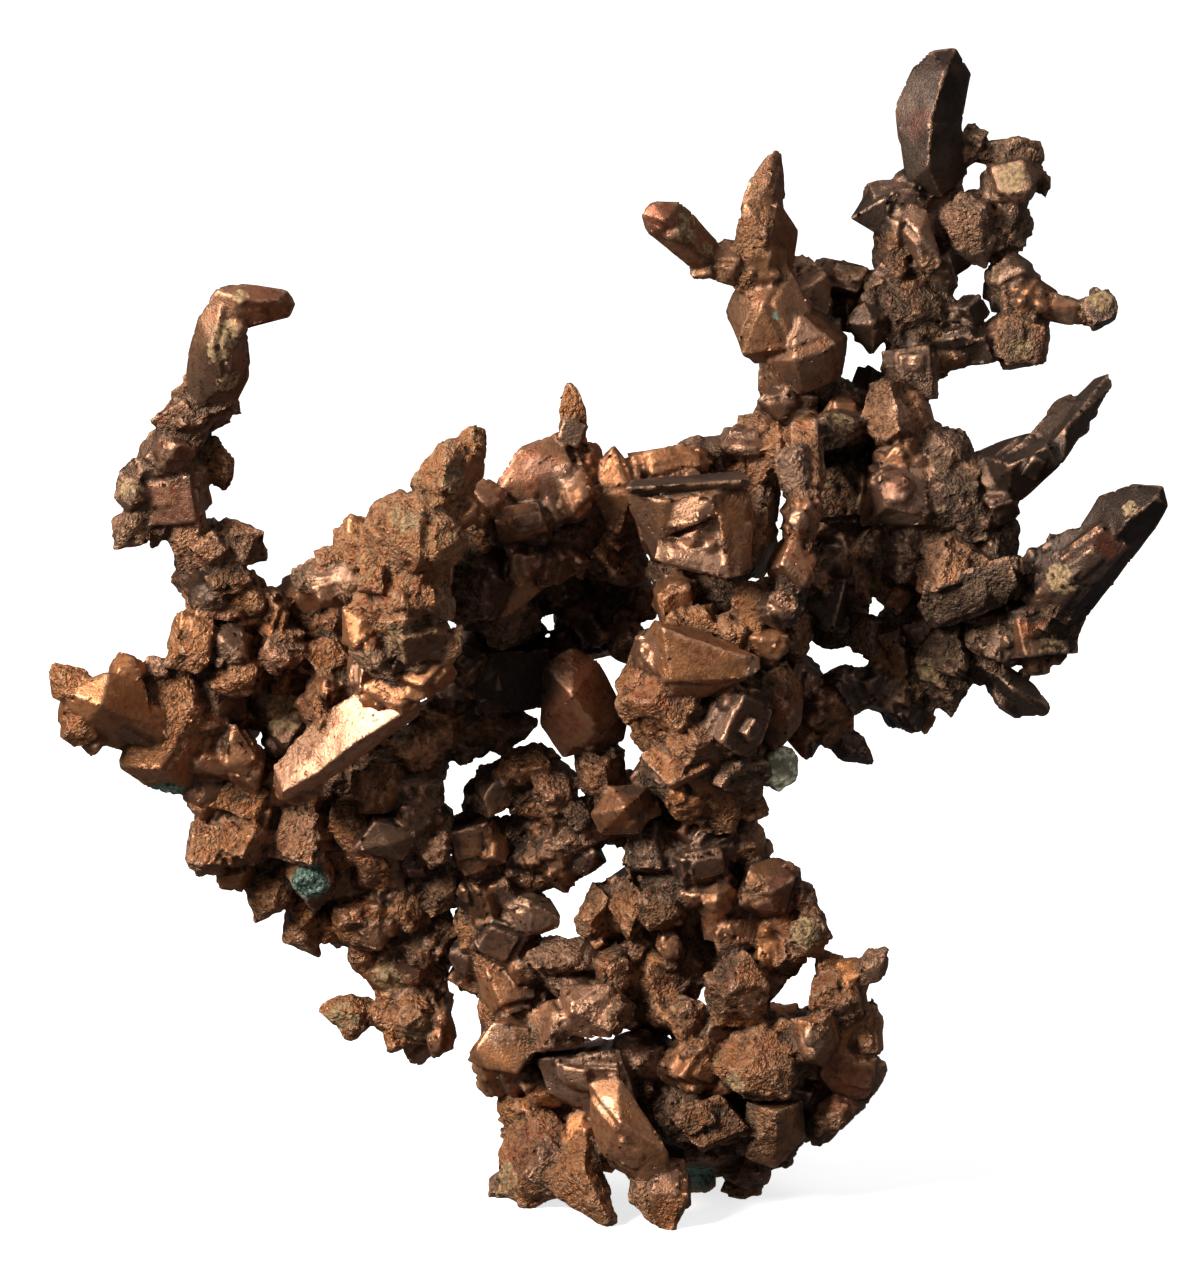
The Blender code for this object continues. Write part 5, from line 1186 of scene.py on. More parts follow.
stem = (
    (43, 73, 3, 2.4), (41, 77, 1, 3), (38.5, 82, 0, 3), (38, 88, 0, 3.2), (41.5, 93, 0, 2.6),
    (41.5, 98, 0, 2.2), (42, 103.5, 0, 2.6),
)
side = (
    (38, 84, 0, 3), (31, 84, 0, 2.8), (25, 83, 0, 2.8), (21.5, 82, 0, 2),
)
lower_left_arm_forms = [
    *limb(*stem),
    *limb(*side),
    *blocks(
        (44.6, 72.6, 3, 6.6, 5.6), (46.2, 74.4, 3, 6, 3.8), (38.5, 75.5, 3, 7, 5, 6),
        (33.5, 78.5, 3, 6, 5, 6), (30.5, 80, 1.5, 4.4, 4.4, 5), (27.2, 78.4, 0.5, 4.6, 5.4, 5),
        (38.8, 79.5, 1, 6, 5, 6),
    ),
    spear((46, 72.6, 3), (53.8, 72, 3), 6, belt=0),
    *blocks(
        (48.4, 69.4, 4, 4.6, 4.6, 6), (45.2, 69.6, 3.5, 4.2, 3.6), (42, 75.6, 2, 5.4, 4.4),
        (20.4, 80.6, 0, 3.4, 3), (24, 79.8, 0, 5.8, 4), (20.6, 84.6, -1, 3.6, 4.4),
    ),
    block(24.3, 84, -2, 5.4, 5.2, habit="worn"),
    *blocks((23.4, 87.4, -1, 3.6, 3.6), (29.6, 83.4, -1, 5, 6)),
    spear((27.4, 87.4, -1), (25.6, 92.9, -1), 5.2, belt=-0.4),
    spear((31.4, 86.6, -3), (31.6, 91.7, -3), 4.4, sides=5, belt=-0.5),
    block(30.8, 87, -2.5, 4.2, 4.2),
    spear((29, 91.6, -1), (31.5, 96.3, -1), 3.8, belt=-0.2),
    *blocks((30.2, 90.6, -0.5, 3.8, 3.8), (32.8, 92.2, 0, 4, 4.4)),
    gem(
        (33, 80.2, -3), (35.2, 80, -4), (39.2, 87, -4), (38.6, 89.2, -3), (36.6, 88.8, -3),
        (32.8, 83.2, -3), (34, 82, 2), (37.6, 87.6, 2), (36, 84, -5),
    ),
    block(36.6, 91.7, -2, 6, 6, habit="thx"),
    *blocks((34.6, 87.6, 1.5, 5.4, 4.8), (38.9, 94.4, 0.5, 4.2, 4)),
    spear((35.4, 93.6, -1), (36.4, 98.2, -1), 2.8),
    *blocks(
        (37.8, 78.8, -4, 4.4, 4.6), (41.8, 80.4, -3, 4.8, 5), (43.7, 82.2, -1.5, 3.2, 4),
        (43.6, 84.2, -3, 4.8, 4.4), (38.6, 83.6, -4, 6.2, 4.4), (40.8, 90.4, -1, 3.8, 5),
        (41.2, 86, -1, 3.2, 3.6), (44.2, 88.8, 0, 4.4, 5.6), (44, 92.8, 0.5, 3.4, 4),
        (42.4, 94.4, -1, 4.8, 4.8), (38.2, 97.4, -0.5, 3.4, 3.6),
    ),
    spear((33.4, 90, 1), (33.6, 95.6, 0), 4.4, belt=-0.2),
    spear((37.4, 96, 0), (35.8, 95.2, 0), 2.8),
    block(41.4, 96.6, -1.5, 4.4, 3.6),
    spear((42.6, 96.8, 0), (44.6, 100.2, 0), 2.8),
    spear((37.6, 101.6, 0), (31.6, 101.4, -1), 3.6, sides=5, belt=0, blunt=0.25),
    *blocks(
        (38.2, 101.8, -0.5, 2.8, 2.8), (41.2, 101.6, -1, 5.6, 6), (43.8, 103, -0.5, 3.2, 6),
        (39.4, 104.4, -1, 2.4, 2.4),
    ),
    *spur((38, 84, 2, 2.8), (36.5, 84.5, 10, 2.4), (38.5, 82.5, 16, 1.8), size=5.4),
    *growth(*stem, count=10, size=5.2, seed=26),
    *growth(*side, count=7, size=5.2, seed=27),
]
lower_left_arm_metal = copper("lower_left_arm_metal", tarnish=0.4, redness=0.6)
lower_left_arm = grow(
    "lower_left_arm", lower_left_arm_forms, lower_left_arm_metal, seed=34, grain=0.6,
    crystals=[
        ("granular", 24.3, 84), ("granular", 41.2, 101.6), ("granular", 34.4, 101.5), ("dark", 37, 84.6),
    ],
    spots=[
        ("green", 31, 88.2, 2.4), ("ruddy", 36, 86, 4), ("tan", 38.5, 98, 2), ("tan", 41.5, 103, 2),
        ("tan", 34, 102, 2), ("tan", 45, 82.6, 2),
    ],
)
finish(lower_left_arm, "lower_left_arm")

# ----------------------------------------------------------------------------------------------------------
# Centre cluster: a shield-shaped crystal on its column, with an arch of small crystals to the left of it.
# Smooth dark faces, brown where light reaches them.

stem = (
    (63.5, 83, -2, 2.2), (60.5, 79, -2, 2.2), (58.6, 72, -2, 2.6),
)
bow = (
    (47.2, 80, 0, 1.7), (50.6, 77.4, 0, 1.9), (54.4, 77.2, 0, 2.2), (55.8, 82, 0, 2.6),
    (55.4, 86.5, 0, 2.6),
)
centre_cluster_forms = [
    *limb(*stem),
    *limb(*bow),
    gem(
        (57.3, 64.6, -4), (54.5, 66.4, -4), (53.9, 72.4, -4), (56.3, 75.8, -4), (62.4, 74.1, -4),
        (62.8, 72, -4), (59.8, 66, -4), (57.2, 69.6, -7.5), (59.4, 72.4, -7), (58, 70, 1), (60, 73, 1),
        (55.8, 73, 0),
    ),
    block(60, 77, -3, 4.4, 5.6, 5),
    gem(
        (59, 81.4, -6), (61, 78.5, -6), (65, 78.4, -6), (65.6, 80.6, -6), (63.6, 83.4, -6), (60, 83.4, -6),
        (62.4, 80.8, -10), (61, 81, -1), (64, 81, -1),
    ),
    *limb((56, 82, 0, 2), (61, 82.4, -2, 1.8)),
    block(57.8, 81.4, -2.5, 2.4, 2.8),
    block(49.4, 79.2, -1, 3.8, 4.4, lean=40),
    *blocks(
        (53, 76.4, -1, 5.4, 3.8), (55.6, 78.8, -1.5, 4.2, 5.4), (52.8, 79.6, -0.5, 3.4, 4.4),
        (50.2, 85, 0, 3.2, 3.6), (58.8, 85.4, -0.5, 3.4, 4.4), (54, 85, 0, 5.4, 5),
        (57.4, 83.6, -0.5, 4.4, 4.6),
    ),
    spear((55, 85, 0), (56.6, 89.6, -1), 4.6, belt=-0.1),
    *blocks((64.6, 78.6, -2, 3.6, 4.8, 5), (66.6, 80.6, -1, 3.6, 4.4, 5)),
    spear((51, 82, 0), (48.6, 84.4, 0), 2.8),
    *blocks((53.8, 83, 1, 3.6, 4.2), (51.8, 85.6, 0.5, 5.2, 4), (52.8, 87.4, 0, 4.6, 3.6)),
    *growth(*stem, count=3, size=4.6, seed=24),
    *growth(*bow, count=6, size=4.6, seed=25),
]
centre_cluster_metal = copper("centre_cluster_metal", tarnish=0.75, crust=0.1)
centre_cluster = grow(
    "centre_cluster", centre_cluster_forms, centre_cluster_metal, seed=36, grain=0.4,
    crystals=[("satin", 57, 69), ("warm", 62, 79.6)],
    spots=[("ruddy", 57, 67, 4), ("ruddy", 56, 72, 3)],
)
finish(centre_cluster, "centre_cluster")

# ----------------------------------------------------------------------------------------------------------
# Wedge cluster: a knot of crystals in front of the middle, with a long wedge at its top. Warm copper, red in
# its hollows, rubbed bright along the wedge, where a painted highlight lies on the rubbed copper.

stem = (
    (72.5, 82, -4, 2.4), (71, 76, -7, 3.6), (70, 69.5, -8, 3.6), (75, 62.5, -9, 2.8),
)
wedge_cluster_forms = [
    *limb(*stem),
    gem(
        (65.4, 61.9, -12.5), (64.3, 63.6, -11.5), (66.3, 62.9, -15.6), (67, 68.1, -15.8), (71.4, 68.3, -15),
        (74.9, 67.6, -15.6), (76, 66.8, -15), (75.8, 65.6, -14.6), (74.4, 65.6, -15.9), (69, 62.8, -13.5),
        (66, 63, -8), (75, 67, -9), (67, 69, -8),
    ),
    gem(
        (66.8, 68, -14.6), (71.6, 68.2, -14.6), (74.6, 67.8, -14.4), (71, 69.6, -12.6), (67.4, 69.4, -12.6),
        (68, 68, -8), (73, 68, -9),
    ),
    *blocks(
        (66.4, 69.2, -9, 7.8, 7.4, 8), (70, 73.6, -10, 8.4, 7, 7), (68, 76.2, -8, 7, 5.2, 7),
        (73.6, 71.8, -11, 6.4, 6.6, 6), (73.4, 77, -8, 6.2, 5, 6), (75.6, 74.6, -6, 3.8, 3.8, 4),
        (70, 62.6, -8, 4, 4, 5),
    ),
    gem(
        (78.6, 66, -8), (80.2, 68.6, -8), (80, 72, -8), (77.4, 75.2, -8), (75.4, 73, -9), (75.8, 68, -10),
        (78.6, 70.4, -11), (77, 67, -4), (78.8, 73, -4),
    ),
    spear((76.6, 62.8, -9), (76.9, 66.2, -11), 4.6, sides=5),
    *blocks(
        (75.8, 60.8, -8, 4.6, 5, 6), (72.6, 63, -9, 4.4, 3.6), (69.2, 79.8, -5, 5, 4.8, 7),
        (65.4, 65.6, -8, 4.4, 5.2, 7), (67.6, 60.6, -6, 3.4, 5, 6), (77, 69, -5, 5.2, 8, 5),
        (66.4, 77.4, -5, 4.4, 4.4, 5),
    ),
    spear((73, 80, -4), (77.2, 81.3, -5), 4, belt=-0.1),
    block(65.6, 73, -7, 5, 5.2, 7),
    *growth((71, 79, -5, 3.4), (70.5, 67, -6, 4), count=9, size=5.8, seed=23),
]
wedge_cluster_metal = copper("wedge_cluster_metal", tarnish=0.3, redness=0.6, rub=1.0)
wedge_cluster = grow(
    "wedge_cluster", wedge_cluster_forms, wedge_cluster_metal, seed=35, grain=0.5,
    crystals=[
        ("warm", 69, 64.6), ("warm", 71, 68.9), ("granular", 66.4, 70.4), ("warm", 76.9, 64.6),
        ("granular", 70.6, 74.6), ("warm", 66.5, 76.6),
    ],
    spots=[
        ("painted_highlight_and_rub", 75.3, 66.6, 1.7), ("painted_highlight_and_rub", 65.3, 64.8, 2.3), ("ruddy", 78, 71, 3),
        ("ruddy", 65.6, 70, 3.4), ("ruddy", 70, 65.4, 2),
    ],
)
finish(wedge_cluster, "wedge_cluster")

# ----------------------------------------------------------------------------------------------------------
# Mineral grain: a rounded grain of the grey green rock that the copper grew in, still held by it. It is
# granular, and not metal.

mineral_grain_forms = [
    block(77.9, 76.8, -7, 3, 4, 3.2, habit="cuboct"),
    *blocks((78.2, 75.8, -6.6, 2, 2.2, 2.4), (77.3, 77.6, -6.4, 2, 2, 2.4)),
]


def rock_material():
    """Granular rock, grey green with darker grains."""
    made = bpy.data.materials.new("grey_green_rock")
    made.use_nodes = True
    tree = made.node_tree
    spot = tree.nodes.new("ShaderNodeTexCoord").outputs["Object"]
    grains = wired(tree, "ShaderNodeTexVoronoi", {"Vector": spot, "Scale": 2600.0}).outputs
    cloud = wired(tree, "ShaderNodeTexNoise", {"Vector": spot, "Scale": 1200.0, "Detail": 4.0}).outputs[0]
    inputs = {0: rise(tree, cloud, 0.42, 0.62), 6: (0.28, 0.25, 0.16, 1), 7: (0.80, 0.74, 0.52, 1)}
    colour = wired(tree, "ShaderNodeMix", inputs, data_type="RGBA").outputs[2]
    height = calc(tree, "MULTIPLY_ADD", grains["Distance"], 0.6, cloud)
    bump = wired(tree, "ShaderNodeBump", {"Strength": 0.8, "Distance": 0.0002, "Height": height})
    shader = tree.nodes["Principled BSDF"]
    shader.inputs["Roughness"].default_value = 0.8
    tree.links.new(colour, shader.inputs["Base Color"])
    tree.links.new(bump.outputs["Normal"], shader.inputs["Normal"])
    return made


rock = rock_material()
mineral_grain = grow(
    "mineral_grain", mineral_grain_forms, rock, seed=47,
)
finish(mineral_grain, "mineral_grain")

# ----------------------------------------------------------------------------------------------------------
# Centre ridge: the row of crystals across the middle, from the sail at the left to the stepped hopper crystal
# at the front. Brown, with painted shadow in the near black hollows below, and painted highlights on the
# hopper.

stem = (
    (48, 61, 0, 3), (53, 56.5, 0, 3.4), (60, 53, 0, 3.4), (67, 50, 0, 3.4), (74.5, 47.5, 1, 3),
)
centre_ridge_forms = [
    *limb(*stem),
    gem(
        (49.8, 51.5, -3), (49.9, 48, -3), (51.8, 45, -2.5), (55.9, 43.2, -2), (57.2, 46.5, -5),
        (56.6, 50.4, -5), (53.8, 53.4, -4), (50.6, 53.6, -3), (54, 48, 3), (52, 51, 3), (57.8, 46.2, 1),
    ),
    spear((57.4, 45, -2), (57.1, 38.6, -2), 2.8, belt=0.4, blunt=0.4),
    *blocks(
        (57.3, 43.2, -2, 2.8, 3), (58.8, 46.8, -1, 3.4, 4.8), (57.6, 49.2, -4, 3.2, 6),
        (52, 52.4, -4.5, 5.4, 3.8), (48, 57.8, -2, 6.2, 7.4), (50.6, 62, 0, 6.4, 4.4),
        (56, 55.6, -2, 6.2, 5.4), (60.4, 55.6, -1, 5.2, 4.6),
    ),
    block(52.2, 56.4, -3.6, 2.8, 4.4, 5, lean=12),
    spear((61.6, 53, -2), (61.6, 44.5, -3), 5.2, sides=5, belt=0),
    block(66.8, 46.6, -2, 7.2, 3.8),
    gem(
        (62.8, 49.4, -13.2), (66.4, 50.2, -15.2), (71.8, 49.4, -15.6), (74.6, 49, -13), (73.9, 47.4, -9),
        (74.6, 56.6, -12.6), (72.6, 57, -13.2), (66.2, 55.2, -14), (65.4, 56, -12.4), (62.9, 51, -12.8),
        (65, 50, -8), (72.5, 55, -8), (66, 55, -8),
    ),
    gem(
        (62.5, 48.9, -15.6), (74.9, 48.1, -15.8), (74.3, 47.2, -9), (63.2, 47.9, -10), (62.8, 49.6, -14.8),
        (74.8, 49, -15),
    ),
    gem(
        (65.8, 54.6, -14.4), (72.2, 53.9, -14.2), (65.4, 56.1, -15.4), (72.9, 57.9, -15.6),
        (74.2, 57.5, -14.6), (66.4, 55, -8), (72.5, 54.6, -8), (73, 57.4, -9),
    ),
    gem(
        (71.6, 50, -15.4), (74.9, 49.2, -13.6), (74.9, 57.3, -13), (73, 57.9, -15.4), (72, 54.2, -15.6),
        (73, 50, -9), (73.4, 57, -9),
    ),
    gem(
        (67, 50.2, -15), (71.2, 49.8, -16), (71.4, 51.6, -15.6), (68.8, 52.4, -15.9), (66.8, 52.8, -14.6),
        (68, 50.4, -9), (70.6, 52, -9),
    ),
    block(68, 52, -6, 8.4, 7.4, 11),
    *limb((70, 51, -2, 2), (70, 58, -2, 2)),
    *blocks(
        (58.2, 61.6, 7, 5, 7.4, 6), (56, 58.9, 6, 5.4, 5, 6), (60.4, 61.8, 8, 6, 7.8, 7),
        (52.5, 59.2, 5, 5, 4.2, 7), (66.8, 60.3, -3, 3.2, 3.8), (63.5, 60, 6, 4, 5),
        (62.6, 63.6, 3, 3.6, 4.8, 5), (71.6, 59.6, -3, 7, 5), (67.6, 57.5, -2, 5, 3.6, 6),
    ),
    block(73.6, 44.8, 0, 5, 4.2, lean=-15),
    *blocks((70.2, 45.6, -1, 3.8, 3.6), (75.6, 42.8, 0, 3.6, 3)),
    *limb((74.5, 47.5, 1, 2.6), (77.5, 46, -1, 1.8)),
    *blocks(
        (77.5, 44.9, -1.5, 5, 5), (75.8, 49.6, 1, 4.4, 6.4), (75, 54, 0, 5, 7),
        (50.6, 66.8, 4, 8.6, 8.6, 7), (47, 66, 2, 4.6, 5), (49, 52.6, -1, 5, 5.6, 6),
        (48.4, 50.4, -4, 4.2, 4.6, 5), (56, 66, 6, 4.4, 4, 5), (62.6, 56.6, 3, 4, 4, 5),
        (51, 63.5, 4, 5, 4, 7),
    ),
    *spur(
        (60, 54, 3, 3), (59, 55, 12, 2.6), (56, 52.5, 20, 2), (52.5, 53.5, 26, 1.4),
        size=5.4,
    ),
    *growth(*stem, count=14, size=6, seed=14),
]
centre_ridge_metal = copper("centre_ridge_metal", tarnish=0.55)
centre_ridge = grow(
    "centre_ridge", centre_ridge_forms, centre_ridge_metal, seed=37, grain=0.4,
    crystals=[
        ("satin", 54, 46.8), ("satin", 64.4, 52.4), ("rubbed", 68.6, 56.2), ("warm", 73.6, 53.6),
        ("rubbed", 69.2, 51), ("dark", 68, 48.8), ("dark", 51, 67), ("dark", 57.4, 43),
    ],
    spots=[
        ("painted_highlight_and_rub", 68.8, 56.2, 2.4), ("painted_highlight_and_rub", 73.2, 56.6, 1.6), ("painted_highlight_and_rub", 56.6, 47.6, 1.6),
        ("ruddy", 53, 48, 4), ("ruddy", 60, 46, 2.6), ("ruddy", 64.5, 54.5, 2), ("black", 58, 60, 6),
        ("black", 51, 66, 5), ("black", 69.4, 53, 0.9),
    ],
    hollows=[
        gem(
            (65.9, 54.2, -18), (67.4, 52.6, -18), (70.4, 51.4, -18), (72, 51.7, -18), (70.9, 53.1, -18),
            (68.4, 54.2, -18), (67.4, 53.5, -12), (70.6, 52.2, -12),
        )
    ],
)
finish(centre_ridge, "centre_ridge")

# ----------------------------------------------------------------------------------------------------------
# Front left stack: boulders and crusted knobs that stand out at the front, left of the middle. Pale brown,
# granular, with a tan crust.

stem = (
    (41, 68, -10, 2.6), (40.5, 62, -11, 3.2), (41.5, 55, -12, 3.4), (44.5, 49, -11, 2.2),
    (47, 45.5, -11, 1.6),
)
front_left_stack_forms = [
    *limb(*stem),
    block(41.6, 53.6, -12, 8.4, 8.2, 8.5, habit="thx"),
    block(42, 48.7, -11, 1.8, 2.4),
    gem(
        (42.9, 45.6, -11), (44.3, 44.1, -11), (46.2, 43.8, -11), (48.8, 46.4, -10.5), (46.9, 47.6, -11),
        (46.4, 50.8, -11), (42.6, 50.6, -11), (41.4, 47.8, -11), (44.6, 46.4, -14), (44.2, 49.4, -14.4),
        (44.8, 46.6, -8), (44.4, 49.6, -7.6),
    ),
    gem(
        (45.8, 43.9, -11), (47.5, 42.5, -11), (48.7, 43, -11), (48.9, 46.3, -11), (46.8, 46.6, -11),
        (47.6, 44.2, -12.6), (47.6, 44.8, -9.4),
    ),
    *blocks(
        (46.4, 51, -10, 3.4, 3.6), (39.8, 60.6, -12, 8.6, 6.6, 8), (41.5, 63.6, -12.5, 6.4, 5, 7),
        (37.5, 58, -13, 2.8, 2.8), (43.6, 60.8, -12, 3.6, 3.4), (36.4, 62.6, -11, 3.8, 4.2),
        (38.6, 65.4, -11, 5.6, 4.6), (42.2, 67.4, -11, 5.6, 4.4), (39.4, 69, -10, 5.4, 4),
    ),
    spear((44.4, 66.4, -12), (46.4, 62.2, -13), 2.4),
    *limb((40.5, 57.5, -8, 2.4), (36, 57.5, -5, 2.2), (32, 58.5, -2, 1.6)),
    block(36.2, 54.4, -6, 3.8, 4.8),
    spear((36, 55, -6), (35.2, 51.3, -5), 3),
    *blocks(
        (38.5, 57, -8, 4, 4.2), (32.8, 55.9, -2, 2.4, 2.6), (33.8, 58.2, -3, 5, 4.6),
        (36.4, 58.6, -5, 4.6, 4.8),
    ),
    spear((31.8, 59, -2), (29, 56.9, -1), 3.2),
    *growth((41, 66, -10, 3.6), (41.5, 54, -11, 4), count=8, size=5.2, seed=13),
]
front_left_stack_metal = copper(
    "front_left_stack_metal",
    tarnish=0.1, crust=0.8, brown=(0.36, 0.15, 0.062, 1),
)
front_left_stack = grow(
    "front_left_stack", front_left_stack_forms, front_left_stack_metal, seed=40, grain=0.9,
    crystals=[("granular", 41.6, 53.6), ("granular", 44.4, 47.4), ("granular", 40, 60.6)],
    spots=[
        ("tan", 45.4, 48, 1.6), ("tan", 41, 52, 1.8), ("tan", 40, 63, 2), ("ruddy", 42, 57, 3),
        ("ruddy", 38, 60, 3),
    ],
)
finish(front_left_stack, "front_left_stack")

# ----------------------------------------------------------------------------------------------------------
# Left arm: big plates, a pointed crystal, and a long bar that is rubbed nearly to bare copper, with a painted
# highlight along it. The plates are warm brown, with fields of fine pits.

stem = (
    (35.5, 66, 3, 2.4), (29, 65.5, 2, 2.4), (23, 66, 1, 2.6), (21.5, 71, 1.5, 3), (16, 72.5, 0, 2.6),
    (11, 71, -1, 2.6),
)
left_arm_forms = [
    *limb(*stem),
    *blocks(
        (19.3, 63.9, 0, 4.4, 5.2), (21.8, 63.2, 2.5, 5.6, 4), (24.5, 62, 1, 5, 3.2), (22.8, 64.5, -1, 4, 4),
        (27.4, 61.4, 0, 3.4, 4.6), (23.4, 67.4, -1, 4.6, 4.4),
    ),
    block(27.9, 64.8, -1, 4.8, 5, habit="oct"),
    *blocks((30.3, 59.9, 3, 5, 4.4), (31.8, 62.6, 2, 5.2, 4), (32.8, 65.6, 0, 6, 3.4)),
    spear((9, 70.4, -1), (5.1, 66, -2), 4.4),
    gem(
        (6.6, 69, -3), (11.2, 67.4, -3.5), (14.6, 68.2, -2), (15.2, 72.4, -3), (12, 75, -1),
        (7.6, 73.6, -2), (10.2, 70.6, -5.5), (8, 70, 2), (14, 72, 3), (11, 74.5, 2),
    ),
    block(8.2, 71.6, -1, 3.8, 5.4),
    spear((9.6, 72.5, -1), (9.1, 75.7, -1), 3.4),
    *blocks((12.8, 67.3, -0.5, 3, 3.4), (15.6, 66.9, 0.5, 2.4, 2.4)),
    gem(
        (14.8, 66.6, 0.5), (18.6, 66, 0.5), (21.2, 70.2, 1), (21.2, 76.6, 1), (18.2, 79.6, 0),
        (15, 78.9, 0), (11.8, 76.6, -1), (19.6, 70.8, -3), (16.2, 76.8, -3.5), (15.4, 72, -2), (17, 69, 3),
        (19.5, 76, 4), (15, 76, 3),
    ),
    *blocks((23.4, 71.5, 6, 6.5, 7.5, 7), (27, 69.5, 5, 6, 6)),
    spear((24.3, 77, -2), (23.2, 72.2, -2.5), 3.9, belt=-0.3),
    spear((24.3, 74.6, -2), (25.6, 80, -2), 4, belt=-0.2),
    block(29, 72, 3, 5.2, 7.6, 5, lean=8),
    *limb((19, 75.5, 0, 2.2), (24.4, 76.6, -1, 1.6)),
    *blocks((21.5, 77.2, 2, 4, 4), (20.8, 79.2, 0.5, 4.8, 3.6)),
    gem(
        (27.3, 76.6, -6), (33.2, 70.8, -8), (37.4, 68.5, -9), (42.1, 68.4, -9), (28.3, 79.3, -9.6),
        (31.9, 77.2, -11.4), (36.1, 73.9, -12.4), (41.7, 70.5, -12.2), (28.3, 80.1, -7.6),
        (31.4, 78.9, -8.2), (34.6, 76.8, -8.8), (38.4, 74, -9.4), (42, 71.4, -9.4), (29, 77.5, -3),
        (35, 74, -4), (41, 70, -5),
    ),
    spear((33, 74, -7), (31.6, 69, -8), 2.6),
    *blocks(
        (29.6, 78, -5.5, 4, 4.6, 5), (32.4, 70.4, -2.5, 4.6, 5.6, 8), (37.2, 67.6, -6, 3.6, 4.6, 8),
        (36.5, 68.5, -1, 6, 5, 8),
    ),
    *spur((23, 70, 5, 3), (22, 70.5, 13, 2.4), (25, 68.5, 20, 1.8), size=5.6),
    *growth(*stem, count=9, size=5.6, seed=12),
]
left_arm_metal = copper("left_arm_metal", tarnish=0.3, rub=1.0)
left_arm = grow(
    "left_arm", left_arm_forms, left_arm_metal, seed=39, grain=0.4,
    crystals=[("warm", 10.6, 71), ("warm", 17.4, 71), ("warm", 24.3, 75), ("rubbed", 34.6, 74.2)],
    spots=[
        ("painted_highlight_and_rub", 31, 76.5, 3.6), ("painted_highlight_and_rub", 36, 72.5, 4), ("painted_highlight_and_rub", 40.5, 70, 2.8),
        ("tan", 28.5, 71.5, 2.6), ("green", 16.8, 79, 1.8),
    ],
)
finish(left_arm, "left_arm")

# ----------------------------------------------------------------------------------------------------------
# Upper left arm: a thin arm with a hook at its end. Brown, redder on its knots, with a yellow green crust on
# the hook's column.

stem = (
    (21, 60.5, 1, 2.1), (19.4, 54.5, 1, 2.4), (17.6, 49.5, 1, 2.6), (18.6, 44, 1, 1.9),
    (20.8, 40, 1.5, 1.8), (22.2, 35.5, 2, 2.1), (22.5, 31.5, 2, 1.7),
)
upper_left_arm_forms = [
    *limb(*stem),
    gem(
        (20.6, 31.4, 1), (22, 29.4, 0.5), (24.4, 28.7, 1.5), (28.9, 29.2, 2), (29.8, 30.5, 2),
        (29.2, 32, 1.5), (25.2, 33.1, 1), (22.6, 33, 0), (24.6, 30.4, -0.6), (28, 30.4, 0.4), (22.4, 31, 4),
        (28.4, 31, 4),
    ),
    gem(
        (20.2, 31.8, 1), (22.6, 30.8, 0), (24.9, 33.6, 1), (25.2, 37.8, 1), (23.8, 40.6, 0.5),
        (19.8, 41, 0), (19, 38.8, 1), (19.4, 34.8, 1), (21.6, 35, -1.6), (22.6, 38.6, -1.4),
        (21.6, 33.6, 4.6), (22.8, 39, 4.6),
    ),
    block(18.5, 41.6, 1, 5.6, 3, lean=-25),
    block(17.3, 45, 0, 5.2, 4.4),
    spear((21, 44, 3), (22.9, 49.3, 3.5), 3.2),
    block(17.6, 49.3, 1, 6, 6),
    block(13.6, 49.2, 0, 3.4, 4.6, habit="cuboct"),
    spear((14.6, 50.6, 0), (11.7, 55.3, -1), 4),
    spear((16.6, 51.5, 0), (15, 55.2, 0), 2.2),
    *blocks((14.7, 46.8, 0.5, 3, 3.4), (19.2, 49.7, 3.6, 3, 3.4), (20.6, 54.6, 1, 4.8, 5.2)),
    spear((22, 53, 1), (27.3, 55.8, 1), 4.6, belt=0.1),
    block(21.4, 59.2, 0.5, 4, 4.4),
    spear((24.6, 61.6, 0.5), (25.3, 56.6, 1), 5.4, belt=-0.3),
    *blocks((21.8, 60, 1, 4.4, 3.2), (22.8, 57.4, 0.5, 4.6, 4.4)),
    *growth(*stem, count=7, size=4.4, seed=11),
]
upper_left_arm_metal = copper(
    "upper_left_arm_metal",
    tarnish=0.75, redness=0.8, brown=(0.17, 0.078, 0.036, 1),
)
upper_left_arm = grow(
    "upper_left_arm", upper_left_arm_forms, upper_left_arm_metal, seed=41, grain=0.6,
    crystals=[("satin", 26, 30.6), ("satin", 22, 36)],
    spots=[
        ("tan", 23, 33.6, 1.7), ("tan", 22, 35.4, 1.5), ("tan", 23.2, 38.4, 1.4), ("tan", 24.4, 30, 1),
        ("tan", 13.4, 49, 1.4), ("ruddy", 22, 37.4, 3.2), ("ruddy", 27, 30.6, 3), ("ruddy", 18, 44, 4),
        ("ruddy", 16.6, 50, 4),
    ],
)
finish(upper_left_arm, "upper_left_arm")

# ----------------------------------------------------------------------------------------------------------
# Upper middle branch: stout and upright, with two fingers at its top. Warm satin copper with few pits, and
# one small green patch.

